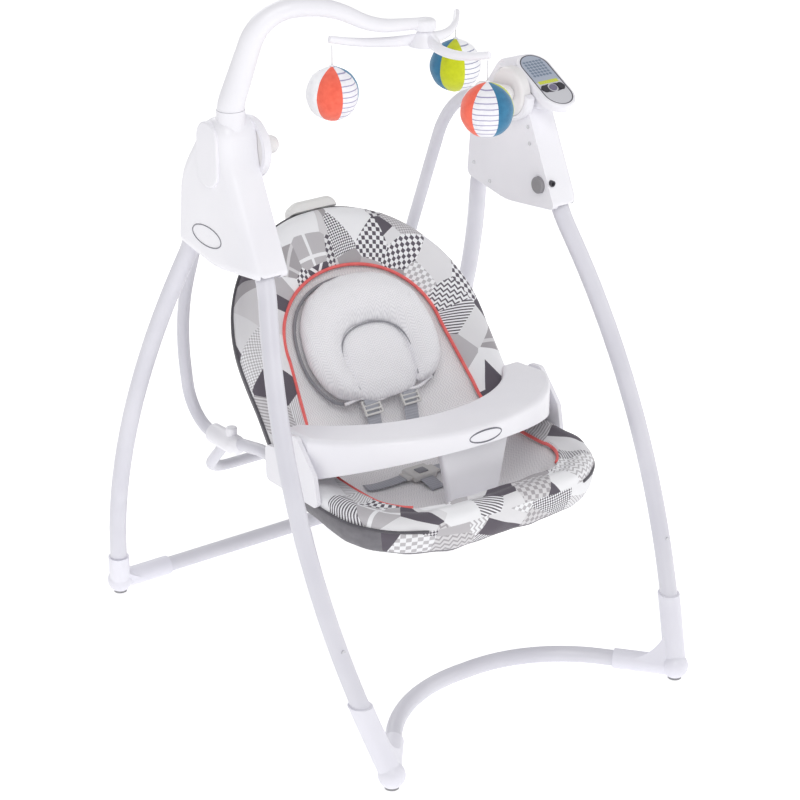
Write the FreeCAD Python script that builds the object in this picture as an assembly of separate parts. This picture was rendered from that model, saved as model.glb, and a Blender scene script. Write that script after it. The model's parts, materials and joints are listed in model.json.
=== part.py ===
import FreeCAD, Part
import math
import os

# Baby swing: two bowed leg frames under two housings, a swinging carriage with a
# reclining fabric seat, a tray, and a toy mobile.
# Millimetres, +Z up. The origin is on the floor under the middle of the four feet.
# The baby faces -Y. The motor side is +X and the mobile side is -X.

os.makedirs("parts", exist_ok=True)
Vector = FreeCAD.Vector

# ---------------------------------------------------------------- driving sizes
base_width = 600.0            # across the outer faces of the feet
base_depth = 824.0            # front of the front feet to back of the rear feet
leg_bow = 80.0                # how far the control corner of a leg stands outward
leg_bow_height = 369.0
leg_diameter = 28.0
leg_wall = 1.5
leg_split_height = 176.0      # where an upper front leg meets its lower tube
leg_spigot_length = 60.0
leg_end_above_pivot = 7.0
rear_leg_end = 34.0           # how far a rear leg runs into its housing
leg_straight_below_pivot = 90.0
base_tube_diameter = 26.0
base_tube_wall = 1.4
front_bow_depth = 169.0       # how far the front base tube runs back from the feet
front_bow_half_width = 131.0
foot_radius = 21.0
foot_sleeve_wall = 3.5
front_sleeve_height = 124.0
rear_sleeve_height = 78.0
front_web_height = 96.0       # the web between the two sleeves of a foot
front_web_reach = 84.0
rear_web_height = 62.0
rear_web_reach = 56.0
foot_web_thickness = 26.0
foot_pad_radius = 11.0
foot_pad_height = 4.0
foot_pad_proud = 1.5

hub_height = 880.0            # the axis that the seat swings about
hub_y = 3.0
hub_radius = 39.0
hub_thickness = 17.0
shaft_radius = 6.0
bush_radius = 10.0
bush_length = 12.0
running_clearance = 0.05

housing_width = 56.0
housing_wall = 2.5
housing_edge_radius = 18.0
fold_pivot_y = -46.0          # fold pivot, from the hub axis
fold_pivot_z = -102.0
fold_pin_radius = 4.0
fold_button_radius = 13.5
fold_button_proud = 6.0

head_width = 62.0             # control head on top of the motor housing
head_length = 124.0
head_thickness = 14.0
head_tilt = 28.5
panel_margin = 5.0
panel_thickness = 1.5

seat_width = 462.0            # across the padded rim
roll_diameter = 34.0          # padded rim around the seat tubes
arm_diameter = 20.0
arm_wall = 1.5
hoop_diameter = 14.0
carriage_inset = 17.0         # seat side to the centre of the carriage side tube
arm_offset = 6.0              # the swing arms hang this much outside the carriage tube
housing_gap = 30.0            # arm centre to the inner face of a housing
recline_y = -22.0             # axis that the seat back reclines about
recline_height = 394.0
recline_pin_radius = 4.0
back_angle = 51.5             # seat back from the horizontal
back_straight = 131.0         # straight side of the back hoop
back_depth = 52.0
back_padding = 42.0
lip_front = -298.0
lip_height = 350.0
lip_corner = 118.0
pan_floor_height = 296.0
pan_padding = 16.0
soft_gap = 0.4                # between fabric pieces on different bodies

tray_front = -262.0
tray_pivot_y = -58.0
tray_pivot_height = 421.0
tray_pin_radius = 4.0
tray_wall = 3.0

mobile_ring_radius = 138.0
mobile_hub_y = -94.0
mobile_height = 1027.0
mobile_drop = 80.0
ball_diameter = 80.0
string_diameter = 1.6

# ---------------------------------------------------------------- derived places
arm_x = seat_width / 2 - carriage_inset + arm_offset
carriage_x = seat_width / 2 - carriage_inset
housing_inner = arm_x + housing_gap
housing_outer = housing_inner + housing_width
leg_x = housing_inner + housing_width / 2
foot_x = base_width / 2 - foot_radius
foot_y = base_depth / 2 - foot_radius
foot_z = foot_radius
hub = Vector(0, hub_y, hub_height)
fold_pivot = hub + Vector(0, fold_pivot_y, fold_pivot_z)
recline_axis = Vector(0, recline_y, recline_height)
slope_up = Vector(0, math.cos(math.radians(back_angle)), math.sin(math.radians(back_angle)))
slope_back = Vector(0, slope_up.z, -slope_up.y)
hoop_radius = seat_width / 2 - roll_diameter / 2 - 2.0
tray_pivot = Vector(0, tray_pivot_y, tray_pivot_height)
x_axis = Vector(1, 0, 0)
y_axis = Vector(0, 1, 0)
z_axis = Vector(0, 0, 1)


# ---------------------------------------------------------------- helpers
def rod(start, axis, radius, length):
    return Part.makeCylinder(radius, length, start, axis)


def box(low, high):
    size = high - low
    return Part.makeBox(size.x, size.y, size.z, low)


def mirrored(shape):
    return shape.mirror(Vector(0, 0, 0), x_axis)


def fused(shapes):
    return shapes[0].fuse(shapes[1:]).removeSplitter()


def unit(vector):
    return Vector(vector) / vector.Length


def rounded_corner(before, corner, after, tangent):
    """The arc that leaves both runs at the given distance from the corner."""
    to_before = unit(before - corner)
    to_after = unit(after - corner)
    half_angle = to_before.getAngle(to_after) / 2
    radius = tangent * math.tan(half_angle)
    toward_centre = unit(to_before + to_after)
    nearest = tangent / math.cos(half_angle) - radius
    start = corner + to_before * tangent
    end = corner + to_after * tangent
    return Part.Arc(start, corner + toward_centre * nearest, end), start, end


def bent_wire(points, tangents):
    """Straight runs through the points, with an arc at each inner one."""
    edges = []
    here = points[0]
    for index in range(1, len(points) - 1):
        arc, start, end = rounded_corner(points[index - 1], points[index],
                                         points[index + 1], tangents[index - 1])
        if (start - here).Length > 0.01:
            edges.append(Part.LineSegment(here, start).toShape())
        edges.append(arc.toShape())
        here = end
    if (points[-1] - here).Length > 0.01:
        edges.append(Part.LineSegment(here, points[-1]).toShape())
    return Part.Wire(edges)


def sweep(wire, direction, radius):
    circle = Part.Circle(wire.OrderedVertexes[0].Point, direction, radius)
    return wire.makePipeShell([Part.Wire([circle.toShape()])], True, False)


def bent_rod(points, tangents, diameter):
    return sweep(bent_wire(points, tangents), points[1] - points[0], diameter / 2)


def bent_tube(points, tangents, diameter, wall):
    outside = bent_rod(points, tangents, diameter)
    return outside.cut(bent_rod(points, tangents, diameter - 2 * wall))


def closed_outline(corners, radii):
    """A closed flat wire with each corner rounded."""
    edges = []
    ends = []
    count = len(corners)
    for index in range(count):
        before = corners[index - 1]
        after = corners[(index + 1) % count]
        half_angle = unit(before - corners[index]).getAngle(unit(after - corners[index])) / 2
        tangent = radii[index] / math.tan(half_angle)
        ends.append(rounded_corner(before, corners[index], after, tangent))
    for index in range(count):
        arc, _, end = ends[index]
        edges.append(arc.toShape())
        next_start = ends[(index + 1) % count][1]
        if (next_start - end).Length > 0.01:
            edges.append(Part.LineSegment(end, next_start).toShape())
    return Part.Wire(edges)


def side_prism(outline, radii, low_x, high_x, origin):
    """A prism along X from a side outline given as (y, z) from an origin."""
    corners = [Vector(low_x, origin.y + y, origin.z + z) for y, z in outline]
    face = Part.Face(closed_outline(corners, radii))
    return face.extrude(Vector(high_x - low_x, 0, 0))


def stadium(width, length, low_z, high_z):
    """A long round-ended plate, long axis along Y, centred on the Z axis."""
    half = width / 2
    run = length / 2 - half
    edges = [
        Part.LineSegment(Vector(half, -run, low_z), Vector(half, run, low_z)).toShape(),
        Part.Arc(Vector(half, run, low_z), Vector(0, run + half, low_z),
                 Vector(-half, run, low_z)).toShape(),
        Part.LineSegment(Vector(-half, run, low_z), Vector(-half, -run, low_z)).toShape(),
        Part.Arc(Vector(-half, -run, low_z), Vector(0, -run - half, low_z),
                 Vector(half, -run, low_z)).toShape(),
    ]
    return Part.Face(Part.Wire(edges)).extrude(Vector(0, 0, high_z - low_z))


def edges_at(shape, place):
    return [edge for edge in shape.Edges if all(place(v.Point) for v in edge.Vertexes)]


nodes = {}


def keep(name, shape):
    nodes[name] = shape


def keep_pair(name, shape):
    """The right-hand piece and its mirror image on the left."""
    nodes[name + "_right"] = shape
    nodes[name + "_left"] = mirrored(shape)


def both(shape):
    """A piece and its mirror image as one group."""
    return Part.makeCompound([shape, mirrored(shape)])


def keep_both(name, shape):
    nodes[name] = both(shape)


# ---------------------------------------------------------------- leg frames
def leg_points(top, lean, sign):
    """A leg from its end in the housing, down over the bow, into its foot."""
    inside = fold_pivot + lean * leg_end_above_pivot if sign < 0 else top + lean * rear_leg_end
    share = (top.z - leg_bow_height) / (top.z - foot_z)
    foot = Vector(foot_x, sign * foot_y, foot_z)
    bow_y = top.y + (foot.y - top.y) * share
    bow_x = leg_x + (foot.x - leg_x) * share + leg_bow
    return [Vector(leg_x, inside.y, inside.z), Vector(leg_x, top.y, top.z),
            Vector(bow_x, bow_y, leg_bow_height), foot]


front_lean = unit(Vector(0, 37, 78))
front_top = fold_pivot - front_lean * leg_straight_below_pivot
rear_top = hub + Vector(0, 126, -186)
rear_lean = unit(Vector(0, -60, 150))
front_leg_points = leg_points(front_top, front_lean, -1)
rear_leg_points = leg_points(rear_top, rear_lean, 1)


def leg_tangents(points):
    lower = (points[3] - points[2]).Length
    return [0.28 * (points[1] - points[0]).Length, 0.82 * lower]


front_leg_tangents = leg_tangents(front_leg_points)
rear_leg_tangents = leg_tangents(rear_leg_points)
front_base_points = [
    Vector(foot_x, -foot_y + 4, base_tube_diameter / 2 + 6),
    Vector(front_bow_half_width, -foot_y + front_bow_depth + 19, base_tube_diameter / 2 + 6),
]
front_base_points += [Vector(-p.x, p.y, p.z) for p in reversed(front_base_points)]
front_base_tangents = [0.5 * (front_base_points[1] - front_base_points[0]).Length] * 2
rear_base_points = [Vector(foot_x, foot_y + 3, base_tube_diameter / 2 + 6),
                    Vector(-foot_x, foot_y + 3, base_tube_diameter / 2 + 6)]
foot_floor = foot_pad_proud
far = 2000.0


def slab(low_z, high_z):
    return box(Vector(-far, -far, low_z), Vector(far, far, high_z))


def base_rod(points, tangents, radius):
    if len(points) == 2:
        return rod(points[0], points[1] - points[0], radius, (points[1] - points[0]).Length)
    return bent_rod(points, tangents, 2 * radius)


def foot_web(centre, up, along, height, reach):
    """The curved web in the corner between the two sleeves."""
    half = unit(up.cross(along)) * (foot_web_thickness / 2)
    corner = centre - half
    high = corner + up * height
    out = corner + along * reach
    hollow = corner + (up * height + along * reach) * 0.3
    outline = Part.Wire([Part.LineSegment(corner, high).toShape(),
                         Part.Arc(high, hollow, out).toShape(),
                         Part.LineSegment(out, corner).toShape()])
    return Part.Face(outline).extrude(half * 2)


def foot_shoe(leg, leg_bends, base, base_bends, sign, sleeve_height, web_height, web_reach):
    """A moulded corner shoe: a sleeve up the leg and one along the base tube."""
    centre = Vector(foot_x, sign * foot_y, foot_z)
    leg_sleeve = bent_rod(leg, leg_bends, leg_diameter + 2 * foot_sleeve_wall)
    leg_sleeve = leg_sleeve.common(slab(foot_z - 4, sleeve_height))
    base_radius = base_tube_diameter / 2 + foot_sleeve_wall
    along = unit(base[1] - base[0])
    base_sleeve = rod(base[0], along, base_radius, 96.0)
    ball = Part.makeSphere(foot_radius, centre)
    leg_up = unit(bent_wire(leg, leg_bends).common(slab(foot_z + 40, foot_z + 41)).BoundBox.Center
                  - centre)
    web = foot_web(centre, leg_up, along, web_height, web_reach)
    shoe = fused([leg_sleeve, base_sleeve, ball, web])
    shoe = shoe.cut(slab(-50.0, foot_floor))
    leg_bore = bent_rod(leg, leg_bends, leg_diameter).common(slab(foot_z + 22, sleeve_height + 5))
    base_bore = base_rod(base, base_bends, base_tube_diameter / 2)
    pad_recess = rod(Vector(centre.x, centre.y, 0), z_axis, foot_pad_radius, foot_pad_height)
    return shoe.cut([leg_bore, base_bore, pad_recess])


def foot_pads(sign):
    pads = []
    for side in (1, -1):
        place = Vector(side * foot_x, sign * foot_y, 0)
        pads.append(rod(place, z_axis, foot_pad_radius, foot_pad_height))
    return Part.makeCompound(pads)


front_leg = bent_tube(front_leg_points, front_leg_tangents, leg_diameter, leg_wall)
pin_hole = rod(Vector(0, fold_pivot.y, fold_pivot.z), x_axis,
               fold_pin_radius + running_clearance, far)
upper_leg = front_leg.common(slab(leg_split_height, far)).cut(pin_hole)
lower_leg = front_leg.common(slab(foot_z + 22, leg_split_height))
spigot = bent_tube(front_leg_points, front_leg_tangents, leg_diameter - 2 * leg_wall - 0.2,
                   leg_wall)
spigot = spigot.common(slab(leg_split_height - 20, leg_split_height + leg_spigot_length))
spigot = fused([spigot.common(slab(leg_split_height, far)),
                bent_tube(front_leg_points, front_leg_tangents, leg_diameter - 0.01,
                          2 * leg_wall).common(slab(leg_split_height - 20, leg_split_height))])
lower_leg = fused([lower_leg, spigot])
keep_pair("front_leg", upper_leg)
keep_both("lower_legs", lower_leg)

front_base = bent_tube(front_base_points, front_base_tangents, base_tube_diameter,
                       base_tube_wall)
keep("front_base_tube", front_base)
keep_both("front_feet", foot_shoe(front_leg_points, front_leg_tangents, front_base_points,
                                  front_base_tangents, -1, front_sleeve_height,
                                  front_web_height, front_web_reach))
keep("front_foot_pads", foot_pads(-1))

rear_leg = bent_tube(rear_leg_points, rear_leg_tangents, leg_diameter, leg_wall)
rear_leg = rear_leg.common(slab(foot_z + 22, far))
keep_both("rear_legs", rear_leg)
rear_span = rear_base_points[1] - rear_base_points[0]
rear_base = rod(rear_base_points[0], rear_span, base_tube_diameter / 2, rear_span.Length)
rear_base = rear_base.cut(rod(rear_base_points[0], rear_span,
                              base_tube_diameter / 2 - base_tube_wall, rear_span.Length))
keep("rear_base_tube", rear_base)
keep_both("rear_feet", foot_shoe(rear_leg_points, rear_leg_tangents, rear_base_points,
                                 [], 1, rear_sleeve_height,
                                 rear_web_height, rear_web_reach))
keep("rear_foot_pads", foot_pads(1))


def spring_button():
    """The spring button that locks an upper front leg on its lower tube."""
    height = leg_split_height + 30.0
    wire = bent_wire(front_leg_points, front_leg_tangents)
    cut = wire.common(slab(height - 0.5, height + 0.5))
    place = cut.BoundBox.Center
    return rod(place + Vector(0, -leg_diameter / 2 - 1.6, 0), y_axis, 3.5, 1.6 + leg_wall)


snap_button = spring_button()
for side_name in ("right", "left"):
    leg_name = "front_leg_" + side_name
    hole = snap_button if side_name == "right" else mirrored(snap_button)
    nodes[leg_name] = nodes[leg_name].cut(hole)
keep_both("leg_snap_buttons", snap_button)

# ---------------------------------------------------------------- housings
housing_outline = [(-103, -172), (-26, -12), (-22, 50), (34, 50), (110, -52), (121, -168),
                   (20, -186)]
housing_radii = [9, 100, 28, 50, 120, 12, 150]
split_x = housing_inner + housing_width * 0.55


def inset_outline_prism(inset, low_x, high_x):
    corners = [Vector(low_x, hub.y + y, hub.z + z) for y, z in housing_outline]
    wire = closed_outline(corners, housing_radii)
    face = Part.Face(wire).makeOffset2D(-inset)
    return Part.Face(face.Wires[0]).extrude(Vector(high_x - low_x, 0, 0))


def housing_body():
    """The closed outside of a housing and the room inside it."""
    outside = side_prism(housing_outline, housing_radii, housing_inner, housing_outer, hub)
    outer_edges = edges_at(outside, lambda p: abs(p.x - housing_outer) < 0.01)
    outside = outside.makeFillet(housing_edge_radius, outer_edges)
    inside = inset_outline_prism(housing_wall, housing_inner + housing_wall,
                                 housing_outer - housing_wall)
    inner_edges = edges_at(inside, lambda p: abs(p.x - housing_outer + housing_wall) < 0.01)
    inside = inside.makeFillet(housing_edge_radius - housing_wall, inner_edges)
    return outside, inside


def control_frame(shape):
    """Places a shape drawn flat at the origin on top of the motor housing."""
    shape.rotate(Vector(0, 0, 0), x_axis, head_tilt)
    shape.translate(head_centre)
    return shape


head_centre = Vector(leg_x + 5, hub.y - 36, hub.z + 20)
housing_outside, housing_inside = housing_body()
slot_outline = [(-108, -210), (-108, -188), (-89.5, -150), (9, -150), (9, -210)]
slot_corners = [Vector(leg_x - leg_diameter / 2 - 3, hub.y + y, hub.z + z)
                for y, z in slot_outline]
leg_slot = Part.Face(Part.makePolygon(slot_corners + slot_corners[:1]))
leg_slot = leg_slot.extrude(Vector(leg_diameter + 6, 0, 0))
rear_socket = bent_rod(rear_leg_points, rear_leg_tangents, leg_diameter)
bearing_boss = rod(Vector(housing_inner, hub.y, hub.z), x_axis, bush_radius + 3, bush_length)
far_boss = rod(Vector(housing_outer - housing_wall - 8, hub.y, hub.z), x_axis,
               bush_radius + 1, 8 + housing_wall / 2)
bush_bore = rod(Vector(housing_inner - 1, hub.y, hub.z), x_axis, bush_radius, bush_length + 1)
far_bore = rod(Vector(housing_outer - housing_wall - 8, hub.y, hub.z), x_axis,
               shaft_radius + running_clearance, 8)
button_place = fold_pivot - front_lean * 41.0
button_bore = rod(Vector(housing_inner - 1, button_place.y, button_place.z), x_axis,
                  fold_button_radius + 0.3, 5)
screw_places = [(-33, -52), (-38, -78), (103, -145), (61, -166), (62, -8)]


def screws():
    """Screws that close the two halves of a housing, from its inner face."""
    group = []
    for y, z in screw_places:
        place = Vector(housing_inner, hub.y + y, hub.z + z)
        head = rod(place - x_axis * 0.8, x_axis, 3.2, 1.8)
        group.append(head.fuse(rod(place, x_axis, 1.6, 10.0)))
    return Part.makeCompound(group)


screw_group = screws()
keep_both("housing_screws", screw_group)
collar_reach = 13.0
hub_collar = rod(Vector(housing_inner - collar_reach, hub.y, hub.z), x_axis, hub_radius + 8,
                 collar_reach + 1)
hub_collar = hub_collar.makeFillet(5.0, edges_at(
    hub_collar, lambda p: abs(p.x - housing_inner + collar_reach) < 0.01))
hub_collar = hub_collar.cut(rod(Vector(housing_inner - collar_reach - 1, hub.y, hub.z),
                                x_axis, hub_radius + 0.5, collar_reach + 3))
shell = housing_outside.cut(housing_inside)
shell = shell.fuse([bearing_boss, far_boss]).cut([leg_slot, rear_socket])
inner_side = box(Vector(0, -far, -far), Vector(split_x, far, far))
outer_side = box(Vector(split_x, -far, -far), Vector(far, far, far))
inner_shell = shell.common(inner_side).cut([bush_bore, button_bore]).fuse(hub_collar)
for screw in screw_group.Solids:
    inner_shell = inner_shell.cut(screw)
outer_shell = shell.common(outer_side).cut(far_bore)
spigot_way = rod(Vector(leg_x, hub.y, hub.z + 30), z_axis, 9.3, 60.0)
keep("housing_left_inner", mirrored(inner_shell.cut(spigot_way)))
keep("housing_left_outer", mirrored(outer_shell.cut(spigot_way)))

head_block = control_frame(box(Vector(-far, -far, -head_thickness), Vector(far, far, far)))
door_low = Vector(housing_outer - 1.4, hub.y + 22, hub.z - 140)
door_high = Vector(housing_outer + 1, hub.y + 92, hub.z - 62)
door = outer_shell.common(box(door_low, door_high))
door_room = box(door_low - Vector(0, 0.3, 0.3), door_high + Vector(0, 0.3, 0.3))
inlet_place = hub + Vector(housing_inner + 8, -88, -133)
inlet_depth = 8.5
inlet_body = rod(inlet_place, y_axis, 5.0, inlet_depth)
inlet = inlet_body.cut(rod(inlet_place, y_axis, 2.8, inlet_depth - 1.5))
inlet = inlet.fuse(rod(inlet_place, y_axis, 0.9, inlet_depth - 1.0))
lid_layer = control_frame(box(Vector(-far, -far, -head_thickness - housing_wall),
                              Vector(far, far, -head_thickness)))
wire_way = control_frame(Part.makeCylinder(6.0, 20.0, Vector(-8, 30, -head_thickness - 10)))
lid = housing_outside.common(lid_layer).cut(wire_way)
right_inner = inner_shell.cut(head_block).fuse(lid.common(inner_side))
keep("housing_right_inner", right_inner.cut(inlet_body))
right_outer = outer_shell.cut(head_block).fuse(lid.common(outer_side))
keep("housing_right_outer", right_outer.cut(door_room))
keep("battery_door", door)
keep("power_inlet", inlet)


def battery_cells():
    cells = []
    for y in (42.0, 70.0):
        for z in (-87.0, -115.0):
            place = Vector(housing_inner + housing_wall + 1.0, hub.y + y, hub.z + z)
            cells.append(rod(place, x_axis, 13.0, 47.0))
    return Part.makeCompound(cells)


keep("battery_cells", battery_cells())
fold_pin = rod(Vector(housing_inner + housing_wall, fold_pivot.y, fold_pivot.z), x_axis,
               fold_pin_radius, housing_width - 2 * housing_wall)
keep_both("fold_pins", fold_pin)


def fold_button():
    """A round push button with a retaining flange and a short stem."""
    face = Vector(housing_inner - fold_button_proud, button_place.y, button_place.z)
    cap = rod(face, x_axis, fold_button_radius, fold_button_proud + housing_wall + 0.3)
    cap = cap.makeFillet(2.0, edges_at(cap, lambda p: abs(p.x - face.x) < 0.01))
    behind = Vector(housing_inner + housing_wall + 0.2, face.y, face.z)
    flange = rod(behind, x_axis, fold_button_radius + 1.8, 1.6)
    stem = rod(behind, x_axis, 5.0, 5.5)
    return fused([cap, flange, stem])


keep_pair("fold_button", fold_button())

# ---------------------------------------------------------------- control head
head = stadium(head_width, head_length, -head_thickness, 0)
head = head.makeFillet(4.0, edges_at(head, lambda p: abs(p.z) < 0.01))
head_room = stadium(head_width - 5, head_length - 5, -head_thickness + 2.5, -4.0)
panel_width = head_width - 2 * panel_margin
panel_length = head_length - 2 * panel_margin
panel_seat = stadium(panel_width + 0.2, panel_length + 0.2, -panel_thickness, 1)
panel = stadium(panel_width, panel_length, -panel_thickness, -0.2)
wire_hole = Part.makeCylinder(6.0, 10.0, Vector(-8, 30, -head_thickness - 1))
head = head.cut([head_room, panel_seat, wire_hole])
panel_row_y = -19.0
button_outlines = {
    "panel_button_left": stadium(12.0, 15.0, -2.4, 0.8),
    "panel_button_right": stadium(12.0, 15.0, -2.4, 0.8),
    "panel_button_round": Part.makeCylinder(6.5, 3.4, Vector(0, 0, -2.4)),
}
button_offsets = {"panel_button_left": -15.5, "panel_button_round": 0.0,
                  "panel_button_right": 15.5}
for name, cap in button_outlines.items():
    cap.translate(Vector(button_offsets[name], panel_row_y, 0))
    room = cap.makeOffsetShape(0.25, 0.01)
    through = room.BoundBox
    well = Part.makeBox(through.XLength, through.YLength, 6.0,
                        Vector(through.XMin, through.YMin, -5.0))
    panel = panel.cut(room)
    head = head.cut(well)
    keep(name, control_frame(cap.copy()))
neck_top = stadium(head_width - 3, head_length - 5, -head_thickness, 0).Faces
neck_top = min(neck_top, key=lambda face: face.CenterOfMass.z).OuterWire
neck_foot = stadium(40.0, 66.0, -head_thickness - 38, 0).Faces
neck_foot = min(neck_foot, key=lambda face: face.CenterOfMass.z).OuterWire
neck_foot.translate(Vector(0, 20, 0))
neck = control_frame(Part.makeLoft([neck_top, neck_foot], True, False))
neck = neck.cut(housing_outside).cut(wire_way)
neck = Part.makeCompound([solid for solid in neck.Solids if solid.Volume > 200.0])
keep("control_head", control_frame(head).fuse(neck))
keep("control_panel", control_frame(panel))
board = Part.makeBox(42.0, 96.0, 1.6, Vector(-21, -48, -10.5))
keep("circuit_board", control_frame(board.cut(wire_hole)))

# ---------------------------------------------------------------- hubs and drive
shaft_end = housing_outer - housing_wall - 0.5


def hub_disc():
    """The round cap that turns in front of the housing, with the arm's socket."""
    low_x = housing_inner - 0.8 - hub_thickness
    disc = rod(Vector(low_x, hub.y, hub.z), x_axis, hub_radius, hub_thickness)
    disc = disc.makeFillet(6.0, edges_at(disc, lambda p: abs(p.x - low_x) < 0.01))
    boss = rod(Vector(arm_x, hub.y - 12, hub.z + 1.5), arm_start, arm_diameter / 2 + 4, 62.0)
    ball = Part.makeSphere(arm_diameter / 2 + 4, Vector(arm_x, hub.y - 12, hub.z + 1.5))
    return fused([disc, boss, ball])


arm_points = [Vector(arm_x, hub.y, hub.z),
              Vector(arm_x, hub.y + 122, hub.z - 14),
              Vector(arm_x, 264.0, recline_height + 130),
              Vector(arm_x, 236.0, recline_height - 34),
              Vector(arm_x, 142.0, recline_height - 41)]
arm_tangents = [100.0, 85.0, 60.0]
arm_start = unit(arm_points[1] - arm_points[0])
swing_arm = bent_tube(arm_points, arm_tangents, arm_diameter, arm_wall)
arm_solid = bent_rod(arm_points, arm_tangents, arm_diameter)
shaft = rod(Vector(housing_inner - hub_thickness + 3, hub.y, hub.z), x_axis, shaft_radius,
            shaft_end - housing_inner + hub_thickness - 3)
hub_piece = hub_disc().cut([arm_solid, shaft])
keep_pair("hub", hub_piece)
keep_pair("swing_arm", swing_arm.cut(shaft))
bush = rod(Vector(housing_inner, hub.y, hub.z), x_axis, bush_radius, bush_length)
bush = bush.cut(rod(Vector(housing_inner - 2, hub.y, hub.z), x_axis,
                    shaft_radius + running_clearance, bush_length + 4))
keep_both("hub_bushes", bush)

# A worm on the motor turns the crank wheel. The crank pin's link to the lever on the
# hub shaft is the one pivot of this closed linkage that is left open.
crank_centre = hub + Vector(0, 46, -34)
crank_radius = 18.0
crank_x = housing_inner + 22.0
worm_radius = 5.0
crank_wheel = rod(Vector(crank_x, crank_centre.y, crank_centre.z), x_axis, crank_radius, 7.0)
crank_pin = rod(Vector(crank_x - 7, crank_centre.y, crank_centre.z + 9), x_axis, 2.5, 7.0)
crank_bore = rod(Vector(crank_x - 8, crank_centre.y, crank_centre.z), x_axis, 2.5, 30)
keep("crank_wheel", crank_wheel.fuse(crank_pin).cut(crank_bore))
axle_end = housing_outer - housing_wall
axle = rod(Vector(crank_x - 1, crank_centre.y, crank_centre.z), x_axis,
           2.5 - running_clearance, axle_end - crank_x + 1)
nodes["housing_right_outer"] = nodes["housing_right_outer"].fuse(axle)
worm_centre = Vector(crank_x + 3.5, crank_centre.y, crank_centre.z - crank_radius - worm_radius - 0.4)
keep("motor_worm", rod(worm_centre + Vector(0, -10, 0), y_axis, worm_radius, 22.0))
keep("drive_motor", rod(worm_centre + Vector(0, -48, 0), y_axis, 8.0, 37.5))
lever = side_prism([(-9, 9), (9, 9), (6, -34), (-6, -34)], [6, 6, 5, 5], crank_x - 4.5,
                   crank_x - 0.5, hub)
link_top = hub + Vector(0, 0, -28)
link = side_prism([(-5, 5), (5, 5), (5, -32), (-5, -32)], [4, 4, 4, 4], crank_x - 8.5,
                  crank_x - 5.0, link_top)
link = link.fuse(rod(Vector(crank_x - 5.0, link_top.y, link_top.z), x_axis, 1.9, 4.5))
keep("drive_link", link)
lever = lever.cut(rod(Vector(crank_x - 6, link_top.y, link_top.z), x_axis,
                      1.9 + running_clearance, 8))
keep("hub_shafts", Part.makeCompound([shaft.fuse(lever), mirrored(shaft)]))

# ---------------------------------------------------------------- carriage
joint_centre = Vector(carriage_x, 142.0, recline_height - 41)
side_start = Vector(carriage_x, joint_centre.y - 6, joint_centre.z)
hump = Vector(carriage_x, 24.0, recline_height - 20)
low_side = Vector(carriage_x, -72.0, recline_height - 43)
lip_corner_point = Vector(carriage_x, lip_front, lip_height)
carriage_points = [side_start, hump, low_side, lip_corner_point]
carriage_points += [Vector(-p.x, p.y, p.z) for p in reversed(carriage_points)]
carriage_tangents = [30.0, 30.0, lip_corner, lip_corner, 30.0, 30.0]
carriage_tube = bent_tube(carriage_points, carriage_tangents, arm_diameter, arm_wall)
carriage_solid = bent_rod(carriage_points, carriage_tangents, arm_diameter)
keep("carriage_tube", carriage_tube)

cross_start = joint_centre + Vector(0, 6, -10)
cross_corner = Vector(carriage_x - 12, 232.0, 262.0)
cross_points = [cross_start, cross_corner]
cross_points += [Vector(-p.x, p.y, p.z) for p in reversed(cross_points)]
cross_tube = bent_tube(cross_points, [50.0, 50.0], arm_diameter - 2, arm_wall)


def arm_joint():
    """The moulded coupling where the arm, side tube and cross tube meet."""
    middle = Vector((arm_x + carriage_x) / 2, 0, 0)
    body = rod(Vector(middle.x, 112, joint_centre.z + 2), Vector(0, 1, -0.02), 16.5, 62.0)
    front_cap = Part.makeSphere(16.5, Vector(middle.x, 112, joint_centre.z + 2))
    knob = rod(Vector(middle.x, 122, joint_centre.z + 10), z_axis, 9.0, 20.0)
    knob = knob.makeFillet(3.0, edges_at(knob, lambda p: p.z > joint_centre.z + 29))
    return fused([body, front_cap, knob])


joint = arm_joint()
arm_end = arm_solid.common(box(Vector(0, 146, 0), Vector(far, far, far)))
cross_tube = cross_tube.cut([joint, mirrored(joint)])
cross_tube = max(cross_tube.Solids, key=lambda solid: solid.Volume)
keep("cross_tube", cross_tube)
arm_cut = box(Vector(0, 0, 0), Vector(far, 146, joint_centre.z + 60))
nodes["swing_arm_right"] = nodes["swing_arm_right"].cut(arm_cut)
nodes["swing_arm_left"] = mirrored(nodes["swing_arm_right"])
keep_both("arm_joints", joint.cut([arm_end, carriage_solid]))

bracket_inner = seat_width / 2 + 1.5
bracket_thickness = 7.0
bracket_outline = [(-128, -46), (12, -46), (14, 12), (-36, 18), (-42, 50), (-72, 54),
                   (-118, 4)]
bracket_radii = [10, 10, 10, 8, 10, 10, 12]


def side_bracket():
    """The moulding that joins the carriage tube, the reclining back and the tray."""
    plate = side_prism(bracket_outline, bracket_radii, bracket_inner,
                       bracket_inner + bracket_thickness, recline_axis)
    sleeve = carriage_sleeve.common(box(Vector(0, -128, 0), Vector(far, -40, far)))
    rib = box(Vector(carriage_x + 9, -118, low_side.z - 8),
              Vector(bracket_inner + 1, -48, low_side.z + 6))
    bracket = fused([plate, sleeve, rib]).cut([carriage_solid, tray_hole])
    return bracket.fuse(recline_pin)


carriage_sleeve = bent_rod(carriage_points, carriage_tangents, arm_diameter + 7)
recline_pin = rod(Vector(hoop_radius - 11, recline_axis.y, recline_axis.z), x_axis,
                  recline_pin_radius, bracket_inner + bracket_thickness - hoop_radius + 11)
recline_room = rod(Vector(hoop_radius - 12, recline_axis.y, recline_axis.z), x_axis,
                   recline_pin_radius + running_clearance, 30.0)
tray_hole = rod(Vector(0, tray_pivot.y, tray_pivot.z), x_axis,
                tray_pin_radius + running_clearance, far)
side_brackets = both(side_bracket())
keep("side_brackets", side_brackets)

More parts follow.
